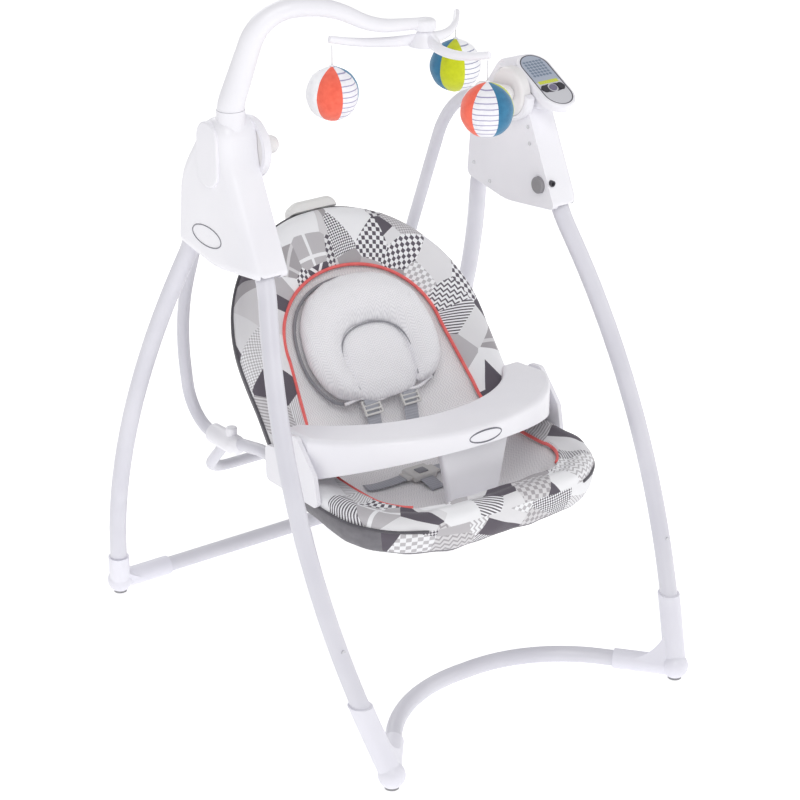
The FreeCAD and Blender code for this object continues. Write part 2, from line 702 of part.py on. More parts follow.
# ---------------------------------------------------------------- seat pan (fixed)
sections = 12


def dish_wire(origin, down, half_width, depth, padding, fullness):
    """A U-shaped section, open toward the sitter, from one rim to the other."""
    def arc_points(width, drop):
        points = []
        for step in range(sections + 1):
            angle = math.pi * step / sections
            across = math.copysign(abs(round(math.cos(angle), 9)) ** fullness, math.cos(angle))
            below = round(math.sin(angle), 9) ** fullness
            points.append(origin + x_axis * (width * across) + down * (drop * below))
        return points

    outer = Part.BSplineCurve()
    outer.interpolate(arc_points(half_width, depth))
    inner = Part.BSplineCurve()
    inner_points = arc_points(half_width - padding, depth - padding)
    inner.interpolate(list(reversed(inner_points)))
    first = origin + x_axis * half_width
    last = origin - x_axis * half_width
    inner_first = origin + x_axis * (half_width - padding)
    inner_last = origin - x_axis * (half_width - padding)
    return Part.Wire([outer.toShape(), Part.LineSegment(last, inner_last).toShape(),
                      inner.toShape(), Part.LineSegment(inner_first, first).toShape()])


def lip_half_width(y):
    """Half the width of the front hoop at a depth, round at its corners."""
    corner_start = lip_front + lip_corner
    if y > corner_start:
        return carriage_x
    reach = corner_start - y
    return carriage_x - lip_corner + math.sqrt(max(lip_corner ** 2 - reach ** 2, 0.0))


def rim_height(y):
    share = (recline_y - y) / (recline_y - lip_front)
    return recline_height - 8 + (lip_height - recline_height + 8) * share


def pan_station(y, depth, lean):
    """A section of the pan; the rearmost one leans back under the seat back."""
    origin = Vector(0, y, rim_height(y))
    down = Vector(0, math.sin(math.radians(lean)), -math.cos(math.radians(lean)))
    return dish_wire(origin, down, lip_half_width(y) - 10, depth, pan_padding, 0.55)


pan_rear = recline_y - 3.0
pan_reach = pan_rear - lip_front - 14.0
pan_wires = []
for share in (0.0, 0.3, 0.6, 0.8, 0.93, 1.0):
    station_y = pan_rear - pan_reach * share
    full = rim_height(station_y) - pan_floor_height
    pan_wires.append(pan_station(station_y, full * (1 - 0.62 * share ** 5),
                                 12.0 * max(0.0, 1 - 4 * share)))
seat_pan = Part.makeLoft(pan_wires, True, False)

lug_radius = 9.0
lug_room = rod(Vector(hoop_radius - lug_radius - 1, recline_y, recline_height), x_axis,
               lug_radius + 0.6, 4 * lug_radius)
roll_start = Vector(carriage_x, low_side.y - 48, low_side.z - 1)
roll_points = [roll_start, lip_corner_point]
roll_points += [Vector(-p.x, p.y, p.z) for p in reversed(roll_points)]
front_roll = bent_rod(roll_points, [lip_corner, lip_corner], roll_diameter)
seat_pan = seat_pan.cut(front_roll).cut(carriage_sleeve)
seat_pan = seat_pan.cut([lug_room, mirrored(lug_room)])
seat_pan = max(seat_pan.Solids, key=lambda solid: solid.Volume)
keep("seat_cover_front", front_roll.cut([carriage_solid, side_brackets]))
keep("seat_pan", seat_pan)

# ---------------------------------------------------------------- seat back (reclines)
def on_slope(x, along, behind):
    return recline_axis + x_axis * x + slope_up * along + slope_back * behind


def hoop_wire(start):
    top = back_straight + hoop_radius
    right = Part.LineSegment(on_slope(hoop_radius, start, 0),
                             on_slope(hoop_radius, back_straight, 0))
    crown = Part.Arc(on_slope(hoop_radius, back_straight, 0), on_slope(0, top, 0),
                     on_slope(-hoop_radius, back_straight, 0))
    left = Part.LineSegment(on_slope(-hoop_radius, back_straight, 0),
                            on_slope(-hoop_radius, start, 0))
    return Part.Wire([right.toShape(), crown.toShape(), left.toShape()])


hoop_start = 0.0
roll_from = 17.0
back_hoop = sweep(hoop_wire(hoop_start), slope_up, hoop_diameter / 2)
back_hoop_bore = sweep(hoop_wire(hoop_start), slope_up, hoop_diameter / 2 - 1.2)
lugs = []
for side in (1, -1):
    lug_start = Vector(side * hoop_radius - lug_radius, recline_axis.y, recline_axis.z)
    lugs.append(rod(lug_start, x_axis, lug_radius, 2 * lug_radius))
back_frame = back_hoop.cut(back_hoop_bore).fuse(lugs)
recline_rooms = [recline_room, mirrored(recline_room)]
keep("back_hoop", back_frame.cut(recline_rooms))
back_roll = sweep(hoop_wire(roll_from), slope_up, roll_diameter / 2)
hoop_room = sweep(hoop_wire(hoop_start), slope_up, hoop_diameter / 2)
keep("seat_cover_back", back_roll.cut(hoop_room).cut(lugs))


def back_half_width(along):
    beyond = along - back_straight
    if beyond <= 0:
        return hoop_radius
    return math.sqrt(max(hoop_radius ** 2 - beyond ** 2, 0.0))


def back_station(along, fan, depth):
    """A section of the back; the lowest ones fan around the recline axis."""
    angle = math.radians(fan)
    down = Vector(0, math.cos(angle), -math.sin(angle))
    origin = recline_axis + slope_up * along
    return dish_wire(origin, down, back_half_width(along) - 8, depth, back_padding, 0.6)


back_normal = 90.0 - back_angle
back_top = back_straight + hoop_radius
back_wires = [
    back_station(0.0, 60.0, back_depth + 28),
    back_station(30.0, 50.0, back_depth + 20),
    back_station(75.0, back_normal + 2, back_depth + 8),
    back_station(back_straight, back_normal, back_depth),
    back_station(back_straight + 0.45 * hoop_radius, back_normal, back_depth),
    back_station(back_straight + 0.75 * hoop_radius, back_normal, back_depth - 5),
    back_station(back_top - 20, back_normal, back_padding + 1),
]
seat_back = Part.makeLoft(back_wires, True, False)
seat_back = seat_back.cut([back_roll, back_hoop] + lugs)
seat_back = seat_back.cut(recline_rooms)


def slope_frame(shape):
    """Places a shape drawn in the back's own plane: X across, Y up the slope."""
    shape.rotate(Vector(0, 0, 0), x_axis, back_angle)
    shape.translate(recline_axis)
    return shape


handle_along = back_top + roll_diameter / 2
handle_width = 88.0
handle_rise = 19.0
catch_width = 56.0
catch_length = 44.0
catch_room = Part.makeBox(catch_width, catch_length + 40, 60.0,
                          Vector(-catch_width / 2, handle_along - 62.0, -34.0 - 40.0))
stem_room = Part.makeBox(41.0, 70.0, 60.0, Vector(-20.5, handle_along - 56.0, -79.5))
seat_back = seat_back.cut([slope_frame(catch_room), slope_frame(stem_room)])
seat_back = max(seat_back.Solids, key=lambda solid: solid.Volume)
keep("seat_back", seat_back)


pillow_along = 122.0
pillow_radius = 124.0
pillow_thickness = 44.0
pillow_foot = 36.0
pillow = Part.makeCylinder(pillow_radius, pillow_thickness)
pillow = pillow.makeFillet(14.0, edges_at(
    pillow, lambda p: abs(p.z - pillow_thickness) < 0.01))
pillow.translate(Vector(0, pillow_along, back_padding - back_depth + soft_gap))
pillow = pillow.cut(box(Vector(-far, -far, -far), Vector(far, pillow_foot, far)))
keep("head_pillow", slope_frame(pillow))
nodes["head_pillow"] = nodes["head_pillow"].cut(nodes["seat_back"])
nodes["head_pillow"] = max(nodes["head_pillow"].Solids, key=lambda solid: solid.Volume)

# The grip at the top of the back slides up the slope to free the recline catch.
grip_start = Vector(-handle_width / 2, handle_along + 1.0, -24.0)
handle = Part.makeBox(handle_width, handle_rise, 34.0, grip_start)
crown_edges = [e for e in edges_at(handle, lambda p: p.y > handle_along + handle_rise)
               if abs(e.tangentAt(0).z) > 0.9]
handle = handle.makeFillet(handle_rise - 2.0, crown_edges)
rim_edges = [e for e in handle.Edges if e.CenterOfMass.y > handle_along + 2.0
             and abs(abs(e.CenterOfMass.z + 7.0) - 17.0) < 0.01]
handle = handle.makeFillet(9.0, rim_edges)
stem = Part.makeBox(40.0, 50.0, 6.0, Vector(-20, handle_along - 46.0, -26.0))
keep("recline_handle", slope_frame(handle.fuse(stem)))
guide = Part.makeBox(catch_width, catch_length, 14.0,
                     Vector(-catch_width / 2, handle_along - 62.0, -34.0))
guide = guide.cut(Part.makeBox(40.6, 60.0, 6.6, Vector(-20.3, handle_along - 60.0, -26.3)))
keep("recline_catch", slope_frame(guide))


def shoulder_strap(side):
    """Webbing from under the head pillow down to the pan."""
    strap = Part.makeBox(24.0, 70.0, 2.4, Vector(side * 36 - 12, -22.0, -7.0))
    slider = Part.makeBox(34.0, 26.0, 6.0, Vector(side * 36 - 17, 8.0, -9.0))
    return strap, slider.cut(strap)


strap_pairs = [shoulder_strap(side) for side in (1, -1)]
straps = Part.makeCompound([slope_frame(pair[0]) for pair in strap_pairs])
sliders = Part.makeCompound([slope_frame(pair[1]) for pair in strap_pairs])
strap_room = [nodes["seat_back"], nodes["head_pillow"]]
straps = straps.cut(strap_room).Solids + sliders.cut(strap_room).Solids
keep("shoulder_straps", Part.makeCompound(straps))

buckle_place = Vector(0, -84.0, pan_floor_height + pan_padding + 2.0)
buckle = Part.makeBox(46.0, 40.0, 13.0, buckle_place - Vector(23, 20, 0))
buckle = buckle.makeFillet(5.0, edges_at(buckle, lambda p: p.z > buckle_place.z + 12.0))
waist = []
for side in (1, -1):
    waist.append(Part.makeBox(80.0, 22.0, 2.6,
                              buckle_place + Vector(23 if side > 0 else -103, -11, 4)))
crotch_strap = Part.makeBox(26.0, 50.0, 2.6, buckle_place - Vector(13, 70, -1))
lap_straps = Part.makeCompound(waist + [crotch_strap]).cut([seat_pan, buckle])
keep("lap_harness", Part.makeCompound([buckle] + lap_straps.Solids))

# ---------------------------------------------------------------- tray
tray_side_x = bracket_inner - 1.0
tray_profile = [(-30, 387), (-118, 383), (tray_front, 435), (tray_front, 462), (-30, 441)]


def crescent(inset, low_z, high_z):
    """The tray's plan: a bowed front, a hollowed rear edge toward the sitter."""
    side = tray_side_x - inset
    front = tray_front + 10 + inset
    rear = -150.0 - inset
    corner_y = -112.0
    rear_y = -40.0 - inset
    front_arc = Part.Arc(Vector(-side, corner_y, low_z), Vector(0, front, low_z),
                         Vector(side, corner_y, low_z))
    side_right = Part.LineSegment(Vector(side, corner_y, low_z), Vector(side, rear_y, low_z))
    horn = side - 34.0 + 2 * inset
    end_right = Part.LineSegment(Vector(side, rear_y, low_z), Vector(horn, rear_y, low_z))
    rear_arc = Part.Arc(Vector(horn, rear_y, low_z), Vector(0, rear, low_z),
                        Vector(-horn, rear_y, low_z))
    end_left = Part.LineSegment(Vector(-horn, rear_y, low_z), Vector(-side, rear_y, low_z))
    side_left = Part.LineSegment(Vector(-side, rear_y, low_z), Vector(-side, corner_y, low_z))
    runs = [front_arc, side_right, end_right, rear_arc, end_left, side_left]
    wire = Part.Wire([run.toShape() for run in runs])
    return Part.Face(wire).extrude(Vector(0, 0, high_z - low_z))


def profile_prism(drop):
    corners = [Vector(-far, y, z - drop) for y, z in tray_profile]
    face = Part.Face(Part.makePolygon(corners + [corners[0]]))
    return face.extrude(Vector(2 * far, 0, 0))


tray = crescent(0.0, 340.0, 500.0).common(profile_prism(0.0))
tray = tray.makeFillet(9.0, [edge for edge in tray.Edges if edge.BoundBox.ZMin > 436.0])
tray_room = crescent(tray_wall, 300.0, 500.0).common(profile_prism(tray_wall))
tray_room = tray_room.fuse(tray_room.translated(Vector(0, 0, -20)))
tray = tray.cut(tray_room)
ears = []
for side in (1, -1):
    start = Vector(side * tray_side_x - (16 if side > 0 else 0), tray_pivot.y, tray_pivot.z)
    ears.append(rod(start, x_axis, 11.0, 16.0))
tray = fused([tray] + ears)
tray_pin = rod(Vector(tray_side_x - 14, tray_pivot.y, tray_pivot.z), x_axis,
               tray_pin_radius, bracket_inner + bracket_thickness - tray_side_x + 14)
tray = fused([tray, tray_pin, mirrored(tray_pin)])
post_points = [Vector(-65, -226, 424), Vector(65, -226, 424), Vector(45, -226, 322),
               Vector(-45, -226, 322)]
post = Part.Face(closed_outline(post_points, [4, 4, 12, 12])).extrude(Vector(0, 15, 0))
post = post.makeFillet(5.0, [e for e in post.Edges
                             if e.BoundBox.YLength < 0.1 and e.BoundBox.ZMax < 423.0])
keep("crotch_post", post.cut([seat_pan, tray]))
keep("tray", tray)

# ---------------------------------------------------------------- mobile
mobile_x = -leg_x
mobile_y = hub.y
collar_top = hub.z + 62.0
collar = rod(Vector(mobile_x, mobile_y, hub.z + 30), z_axis, 21.5, 32.0)
boss_proud = 4.0
boss = stadium(56.0, 100.0, 0.0, 12.0)
boss = boss.makeFillet(3.0, edges_at(boss, lambda p: abs(p.z) < 0.01))
boss.rotate(Vector(0, 0, 0), x_axis, 90)
boss.rotate(Vector(0, 0, 0), z_axis, 90)
boss.translate(Vector(-housing_outer - boss_proud, hub.y + 20, hub.z - 6))
spigot_bore = rod(Vector(mobile_x, mobile_y, collar_top - 16), z_axis, 9.05, 20.0)
left_body = mirrored(housing_outside)
collar = collar.cut([left_body, spigot_bore])
keep("mobile_mount", Part.makeCompound([collar, boss.cut(left_body)]))

arm_heading = unit(Vector(0, mobile_hub_y, 0) - Vector(mobile_x, mobile_y, 0))
arm_reach = (Vector(0, mobile_hub_y, 0) - Vector(mobile_x, mobile_y, 0)).Length


def mobile_point(reach, height):
    base = Vector(mobile_x, mobile_y, 0) + arm_heading * reach
    return Vector(base.x, base.y, height)


mobile_points = [mobile_point(0, collar_top + 0.4), mobile_point(1, collar_top + 10),
                 mobile_point(48, mobile_height + 58), mobile_point(arm_reach * 0.5, mobile_height + 57),
                 mobile_point(arm_reach * 0.74, mobile_height + 20),
                 mobile_point(arm_reach, mobile_height + 20)]
mobile_wire = bent_wire(mobile_points, [5.0, 52.0, 38.0, 30.0])
thick = Part.Circle(mobile_points[0], z_axis, 20.5)
thin = Part.Circle(mobile_points[-1], arm_heading, 8.5)
mobile_arm = mobile_wire.makePipeShell([Part.Wire([thick.toShape()]),
                                        Part.Wire([thin.toShape()])], True, False)
spigot_pin = rod(Vector(mobile_x, mobile_y, collar_top - 15.5), z_axis, 9.0, 17.0)
mobile_arm = mobile_arm.fuse(spigot_pin)
mobile_centre = Vector(0, mobile_hub_y, mobile_height)
cap = rod(mobile_centre + Vector(0, 0, 10.5), z_axis, 16.0, 16.0)
cap = cap.makeFillet(5.0, edges_at(cap, lambda p: p.z > mobile_height + 25))
stub = rod(mobile_centre + Vector(0, 0, -2), z_axis, 3.5, 14.0)
mobile_arm = mobile_arm.fuse([cap, stub])
keep("mobile_arm", mobile_arm)

rotor = Part.makeCone(25.0, 11.0, 22.0, mobile_centre + Vector(0, 0, -13))
rotor_arms = []


def blade_section(place, along, half_height, half_width):
    """An upright oval across a mobile arm."""
    across = unit(along.cross(z_axis))
    upward = across.cross(along)
    return Part.Ellipse(place + upward * half_height, place + across * half_width, place)


for turn in range(3):
    angle = math.radians(33.5 + 120.0 * turn)
    outward = Vector(math.cos(angle), math.sin(angle), 0)
    sideways = Vector(-outward.y, outward.x, 0)
    start = mobile_centre + outward * 6 - Vector(0, 0, 3)
    middle = mobile_centre + outward * (0.5 * mobile_ring_radius) - sideways * 22
    middle = middle - Vector(0, 0, 16)
    tip = mobile_centre + outward * (mobile_ring_radius + 4) + Vector(0, 0, 2)
    bend = bent_wire([start, middle, tip], [0.45 * mobile_ring_radius])
    big = blade_section(start, unit(middle - start), 9.0, 6.0)
    small = blade_section(tip, unit(tip - middle), 5.5, 4.5)
    rotor_arms.append(bend.makePipeShell([Part.Wire([big.toShape()]),
                                          Part.Wire([small.toShape()])], True, False))
rotor = rotor.fuse(rotor_arms)
rotor = rotor.cut(rod(mobile_centre + Vector(0, 0, -10), z_axis, 3.5 + running_clearance, 30.0))
keep("mobile_rotor", rotor)
ball_gap = 6.0
for turn in range(3):
    angle = math.radians(33.5 + 120.0 * turn)
    end = mobile_centre + Vector(math.cos(angle), math.sin(angle), 0) * mobile_ring_radius
    ball_centre = end - Vector(0, 0, mobile_drop)
    ball = Part.makeSphere(ball_diameter / 2, ball_centre)
    string_top = end.z - ball_gap
    string_length = string_top - ball_centre.z - ball_diameter / 2 + 0.5
    string = rod(Vector(end.x, end.y, string_top - string_length), z_axis,
                 string_diameter / 2, string_length)
    keep("mobile_ball_" + str(turn + 1), Part.makeCompound([ball, string.cut(ball)]))

# ---------------------------------------------------------------- write the parts
for name in nodes:
    shape = nodes[name]
    print(name, shape.ShapeType, shape.isValid(), len(shape.Solids), round(shape.Volume))
    shape.exportStep("parts/" + name + ".step")
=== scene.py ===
import json
import math

import bmesh
import bpy
import numpy as np
from mathutils import Matrix, Vector, noise


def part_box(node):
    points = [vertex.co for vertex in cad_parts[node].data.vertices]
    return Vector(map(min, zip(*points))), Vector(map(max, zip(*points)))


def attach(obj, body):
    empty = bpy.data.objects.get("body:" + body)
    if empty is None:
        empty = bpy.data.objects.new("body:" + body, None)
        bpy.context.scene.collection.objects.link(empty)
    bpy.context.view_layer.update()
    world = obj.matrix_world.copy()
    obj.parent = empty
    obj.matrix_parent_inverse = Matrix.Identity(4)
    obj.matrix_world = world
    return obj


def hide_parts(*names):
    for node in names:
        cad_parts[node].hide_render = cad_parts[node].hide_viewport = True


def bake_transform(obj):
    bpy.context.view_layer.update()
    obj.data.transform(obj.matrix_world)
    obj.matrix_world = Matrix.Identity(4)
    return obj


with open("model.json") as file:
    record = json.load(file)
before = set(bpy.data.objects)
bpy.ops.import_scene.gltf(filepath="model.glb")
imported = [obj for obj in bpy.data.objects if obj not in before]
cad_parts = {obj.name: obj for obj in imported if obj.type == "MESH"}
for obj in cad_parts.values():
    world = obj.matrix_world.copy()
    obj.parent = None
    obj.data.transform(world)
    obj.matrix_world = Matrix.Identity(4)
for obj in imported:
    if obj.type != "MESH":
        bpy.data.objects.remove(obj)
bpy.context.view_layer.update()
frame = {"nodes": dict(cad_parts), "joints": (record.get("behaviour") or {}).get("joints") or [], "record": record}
for thing in bpy.context.selected_objects:
    thing.select_set(False)

X = Vector((1, 0, 0))
Y = Vector((0, 1, 0))
Z = Vector((0, 0, 1))
joints = {joint["name"]: joint for joint in frame["joints"]}


def joint_place(name):
    return Vector(joints[name]["pos_m"])


def middle_of(node):
    low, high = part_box(node)
    return (low + high) / 2


# ------------------------------------------------------------------ places
recline_axis = joint_place("seat_recline")
slope_up = Vector(joints["recline_squeeze"]["axis"]).normalized()
slope_back = Vector((0, slope_up.z, -slope_up.y))
hub = joint_place("seat_swing")
hoop_radius = 0.212           # padded rim's centre line around the seat back
hoop_centre = 0.131           # up the slope from the recline axis
rim_radius = 0.0185           # half the thickness of the padded rim
side_x = 0.214                # centre of the side rails
lip_radius = 0.118            # front corners of the seat, seen from above
lip_front = -0.298
lip_corner_y = lip_front + lip_radius
lip_height = 0.350
piping_side = 0.148           # half the width between the pipings at the widest arc
piping_low = 0.165            # and at the recline axis
piping_top = 0.262            # the piping's crown, up the slope


def on_slope(x, along, behind=0.0):
    return recline_axis + X * x + slope_up * along + slope_back * behind


# ------------------------------------------------------------------ materials
class Finish:
    """A material's nodes, added and wired by name."""

    def __init__(self, name):
        self.material = bpy.data.materials.new(name)
        self.material.use_nodes = True
        self.tree = self.material.node_tree
        self.shader = self.tree.nodes["Principled BSDF"]

    def node(self, kind, **settings):
        node = self.tree.nodes.new("ShaderNode" + kind)
        for key, value in settings.items():
            setattr(node, key, value)
        return node

    def link(self, value, socket):
        if isinstance(value, bpy.types.NodeSocket):
            self.tree.links.new(value, socket)
        else:
            socket.default_value = value

    def math(self, operation, *values):
        node = self.node("Math", operation=operation)
        for value, socket in zip(values, node.inputs):
            self.link(value, socket)
        return node.outputs[0]

    def mix(self, share, first, second):
        node = self.node("Mix", data_type="RGBA")
        self.link(share, node.inputs[0])
        self.link(first, node.inputs[6])
        self.link(second, node.inputs[7])
        return node.outputs[2]

    def object_place(self):
        return self.node("TexCoord").outputs["Object"]

    def cloth_place(self):
        return self.node("UVMap", uv_map="cloth").outputs[0]

    def noise(self, place, scale, detail=2.0):
        node = self.node("TexNoise")
        self.link(place, node.inputs["Vector"])
        node.inputs["Scale"].default_value = scale
        node.inputs["Detail"].default_value = detail
        return node.outputs[0]

    def split(self, place):
        node = self.node("SeparateXYZ")
        self.link(place, node.inputs[0])
        return node.outputs[0], node.outputs[1], node.outputs[2]

    def spread(self, value, low, high):
        """A value from 0 to 1 spread between two others."""
        node = self.node("MapRange")
        self.link(value, node.inputs[0])
        node.inputs[1].default_value = 0.3
        node.inputs[2].default_value = 0.7
        node.inputs[3].default_value = low
        node.inputs[4].default_value = high
        return node.outputs[0]

    def bump(self, height, distance, strength=1.0):
        node = self.node("Bump")
        self.link(height, node.inputs["Height"])
        node.inputs["Distance"].default_value = distance
        node.inputs["Strength"].default_value = strength
        self.tree.links.new(node.outputs[0], self.shader.inputs["Normal"])

    def set(self, **values):
        for key, value in values.items():
            self.link(value, self.shader.inputs[key.replace("_", " ")])
        return self


def tone(red, green, blue):
    """A colour given as display values from 0 to 255."""
    parts = [part / 255 for part in (red, green, blue)]
    linear = [p / 12.92 if p <= 0.04045 else ((p + 0.055) / 1.055) ** 2.4 for p in parts]
    return (*linear, 1.0)


def moulded(name, light, shade, roughness, grain=0.00012):
    """Moulded plastic: faint flow shading, a fine grain and uneven gloss."""
    finish = Finish(name)
    place = finish.object_place()
    flow = finish.noise(place, 7.0, 3.0)
    finish.link(finish.mix(finish.spread(flow, 0.0, 1.0), light, shade),
                finish.shader.inputs["Base Color"])
    finish.link(finish.spread(finish.noise(place, 60.0), roughness - 0.05, roughness + 0.06),
                finish.shader.inputs["Roughness"])
    finish.bump(finish.noise(place, 1400.0), grain, 0.35)
    return finish.set(Coat_Weight=0.12, Coat_Roughness=0.25).material


def coated(name, light, shade):
    """Powder coat on steel tube: an orange-peel skin with a satin gloss."""
    finish = Finish(name)
    place = finish.object_place()
    finish.link(finish.mix(finish.spread(finish.noise(place, 11.0), 0.0, 1.0), light, shade),
                finish.shader.inputs["Base Color"])
    finish.link(finish.spread(finish.noise(place, 90.0), 0.34, 0.46),
                finish.shader.inputs["Roughness"])
    finish.bump(finish.noise(place, 850.0, 3.0), 0.0003, 0.4)
    return finish.set(Coat_Weight=0.2, Coat_Roughness=0.3).material


def metal(name, colour, shade, roughness):
    finish = Finish(name)
    place = finish.object_place()
    finish.link(finish.mix(finish.noise(place, 45.0), colour, shade),
                finish.shader.inputs["Base Color"])
    finish.link(finish.spread(finish.noise(place, 300.0), roughness - 0.08, roughness + 0.1),
                finish.shader.inputs["Roughness"])
    finish.bump(finish.noise(place, 700.0), 0.0001, 0.3)
    return finish.set(Metallic=1.0).material


def plush(name, light, shade, roughness=0.9, stripe=None):
    """Short-pile toy cloth, with pale bands across it when stripe is given."""
    finish = Finish(name)
    place = finish.object_place()
    colour = finish.mix(finish.spread(finish.noise(place, 120.0), 0.0, 1.0), light, shade)
    nap = finish.noise(place, 1100.0, 3.0)
    height = nap
    if stripe:
        up = finish.split(place)[2]
        wander = finish.math("MULTIPLY", finish.noise(place, 30.0), 0.003)
        band = finish.math("PINGPONG", finish.math("ADD", up, wander), 0.0039)
        line = finish.math("LESS_THAN", band, 0.0007)
        colour = finish.mix(line, colour, stripe)
        height = finish.math("ADD", nap, finish.math("MULTIPLY", band, 160.0))
    finish.link(colour, finish.shader.inputs["Base Color"])
    finish.bump(height, 0.0007, 0.5)
    return finish.set(Roughness=roughness, Sheen_Weight=0.35, Sheen_Roughness=0.5).material


def weave_height(finish, place, pitch):
    """Plain weave: two threads that pass over and under each other."""
    across, along, _ = finish.split(place)
    turn = math.pi / pitch
    one = finish.math("ABSOLUTE", finish.math("SINE", finish.math("MULTIPLY", across, turn)))
    two = finish.math("ABSOLUTE", finish.math("SINE", finish.math("MULTIPLY", along, turn)))
    return finish.math("MULTIPLY", one, two)


def knit(name, light, shade, pitch=0.0052, rise=0.0068):
    """Soft knit with a raised chevron."""
    finish = Finish(name)
    place = finish.cloth_place()
    across, along, _ = finish.split(place)
    drift = finish.math("MULTIPLY", finish.noise(place, 55.0), 0.004)
    zigzag = finish.math("PINGPONG", finish.math("ADD", across, drift), rise)
    level = finish.math("ADD", along, zigzag)
    ridge = finish.math("ABSOLUTE", finish.math("SINE", finish.math("MULTIPLY", level,
                                                                     math.pi / pitch)))
    fuzz = finish.noise(place, 1500.0, 3.0)
    # The colour follows the ridges: painted shade darkens the grooves between them, and random fuzz varies it.
    share = finish.math("MULTIPLY_ADD", ridge, 0.75, finish.math("MULTIPLY", fuzz, 0.25))
    finish.link(finish.mix(share, shade, light), finish.shader.inputs["Base Color"])
    finish.bump(finish.math("MULTIPLY_ADD", fuzz, 0.45, ridge), 0.0006, 0.55)
    return finish.set(Roughness=0.95, Sheen_Weight=0.25, Sheen_Roughness=0.6).material


def plain_cloth(name, light, shade, pitch=0.0011, roughness=0.85):
    finish = Finish(name)
    place = finish.cloth_place()
    cloud = finish.spread(finish.noise(place, 70.0, 3.0), 0.0, 1.0)
    finish.link(finish.mix(cloud, light, shade), finish.shader.inputs["Base Color"])
    finish.bump(weave_height(finish, place, pitch), 0.0002, 0.6)
    return finish.set(Roughness=roughness, Sheen_Weight=0.15).material


def webbing(name, light, shade):
    """Narrow woven webbing with a rib along it."""
    finish = Finish(name)
    place = finish.cloth_place()
    across, along, _ = finish.split(place)
    rib = finish.math("ABSOLUTE", finish.math("SINE", finish.math("MULTIPLY", along, 1900.0)))
    edge = finish.math("ABSOLUTE", finish.math("SINE", finish.math("MULTIPLY", across, 700.0)))
    # The colour follows the ribs: painted shade darkens the grooves between them.
    share = finish.math("MULTIPLY", rib, edge)
    finish.link(finish.mix(share, shade, light), finish.shader.inputs["Base Color"])
    finish.bump(share, 0.0003, 0.7)
    return finish.set(Roughness=0.7, Sheen_Weight=0.2).material


white = tone(240, 240, 243)
pale = tone(214, 212, 215)
mid = tone(168, 164, 168)
dark = tone(92, 86, 96)


def patchwork():
    """The cover's print: straight-sided patches, each with its own small motif."""
    finish = Finish("printed_cover")
    place = finish.cloth_place()
    cells = finish.node("TexVoronoi", voronoi_dimensions="2D")
    finish.link(place, cells.inputs["Vector"])
    cells.inputs["Scale"].default_value = 18.0
    kind, shade_pick, turn = finish.split(cells.outputs["Color"])
    away = finish.node("VectorMath", operation="SUBTRACT")
    finish.link(place, away.inputs[0])
    finish.link(cells.outputs["Position"], away.inputs[1])
    turned = finish.node("VectorRotate", rotation_type="Z_AXIS")
    finish.link(away.outputs[0], turned.inputs["Vector"])
    finish.link(finish.math("MULTIPLY", turn, math.pi), turned.inputs["Angle"])
    u, v, _ = finish.split(turned.outputs[0])

    def wave(value, half):
        return finish.math("PINGPONG", value, half)

    def below(value, limit):
        return finish.math("LESS_THAN", value, limit)

    checks = finish.math("ABSOLUTE", finish.math("SUBTRACT", below(wave(u, 0.003), 0.0015),
                                                 below(wave(v, 0.003), 0.0015)))
    stripes = below(wave(u, 0.0024), 0.0011)
    zigzag = below(wave(finish.math("ADD", v, wave(u, 0.006)), 0.0045), 0.0018)
    teeth = below(wave(v, 0.005), finish.math("MULTIPLY", wave(u, 0.005), 0.9))
    arms = finish.math("ABSOLUTE", finish.math("SUBTRACT", finish.math("ABSOLUTE", u),
                                               finish.math("ABSOLUTE", v)))
    cross = finish.math("GREATER_THAN", arms, 0.0042)
    half = finish.math("GREATER_THAN", u, 0.0)
    plain_dark = 1.0
    plain_light = 0.0
    motifs = [plain_light, checks, half, stripes, cross, plain_dark, teeth, plain_light,
              zigzag, plain_light, half]
    ink = None
    step = 1.0 / len(motifs)
    for index, motif in enumerate(motifs):
        here = finish.math("COMPARE", kind, (index + 0.5) * step, step / 2)
        part = finish.math("MULTIPLY", here, motif)
        ink = part if ink is None else finish.math("ADD", ink, part)
    grounds = finish.node("ValToRGB")
    inks = finish.node("ValToRGB")
    for ramp, colours in ((grounds, [white, pale, white, tone(226, 225, 228)]), (inks, [dark, mid, tone(190, 187, 191), dark])):
        ramp.color_ramp.interpolation = "CONSTANT"
        points = ramp.color_ramp.elements
        while len(points) < len(colours):
            points.new(0.5)
        for index, colour in enumerate(colours):
            points[index].position = index / len(colours)
            points[index].color = colour
        finish.link(shade_pick, ramp.inputs[0])
    share = finish.math("MINIMUM", ink, 1.0)
    finish.link(finish.mix(share, grounds.outputs[0], inks.outputs[0]),
                finish.shader.inputs["Base Color"])
    finish.bump(weave_height(finish, place, 0.0009), 0.0002, 0.5)
    return finish.set(Roughness=0.85, Sheen_Weight=0.15).material


plastic = moulded("soft_white_plastic", tone(243, 242, 247), tone(236, 235, 241), 0.38)
foot_plastic = moulded("foot_plastic", tone(236, 235, 243), tone(228, 227, 237), 0.42)
grey_plastic = moulded("warm_grey_plastic", tone(216, 215, 213), tone(208, 207, 205), 0.45)
dark_plastic = moulded("dark_plastic", tone(52, 50, 60), tone(44, 42, 50), 0.35)
tube_coat = coated("powder_coat", tone(222, 221, 229), tone(214, 213, 222))
steel = metal("bright_steel", (0.62, 0.62, 0.64, 1), (0.5, 0.5, 0.53, 1), 0.3)
brass = metal("turned_brass", (0.75, 0.58, 0.27, 1), (0.62, 0.46, 0.2, 1), 0.3)
board_green = moulded("solder_mask", (0.03, 0.16, 0.07, 1), (0.02, 0.11, 0.05, 1), 0.4)
cell_wrap = moulded("cell_wrapper", (0.05, 0.05, 0.06, 1), (0.1, 0.1, 0.11, 1), 0.3)
rubber = moulded("pad_rubber", (0.3, 0.3, 0.31, 1), (0.24, 0.24, 0.25, 1), 0.8)
print_cloth = patchwork()
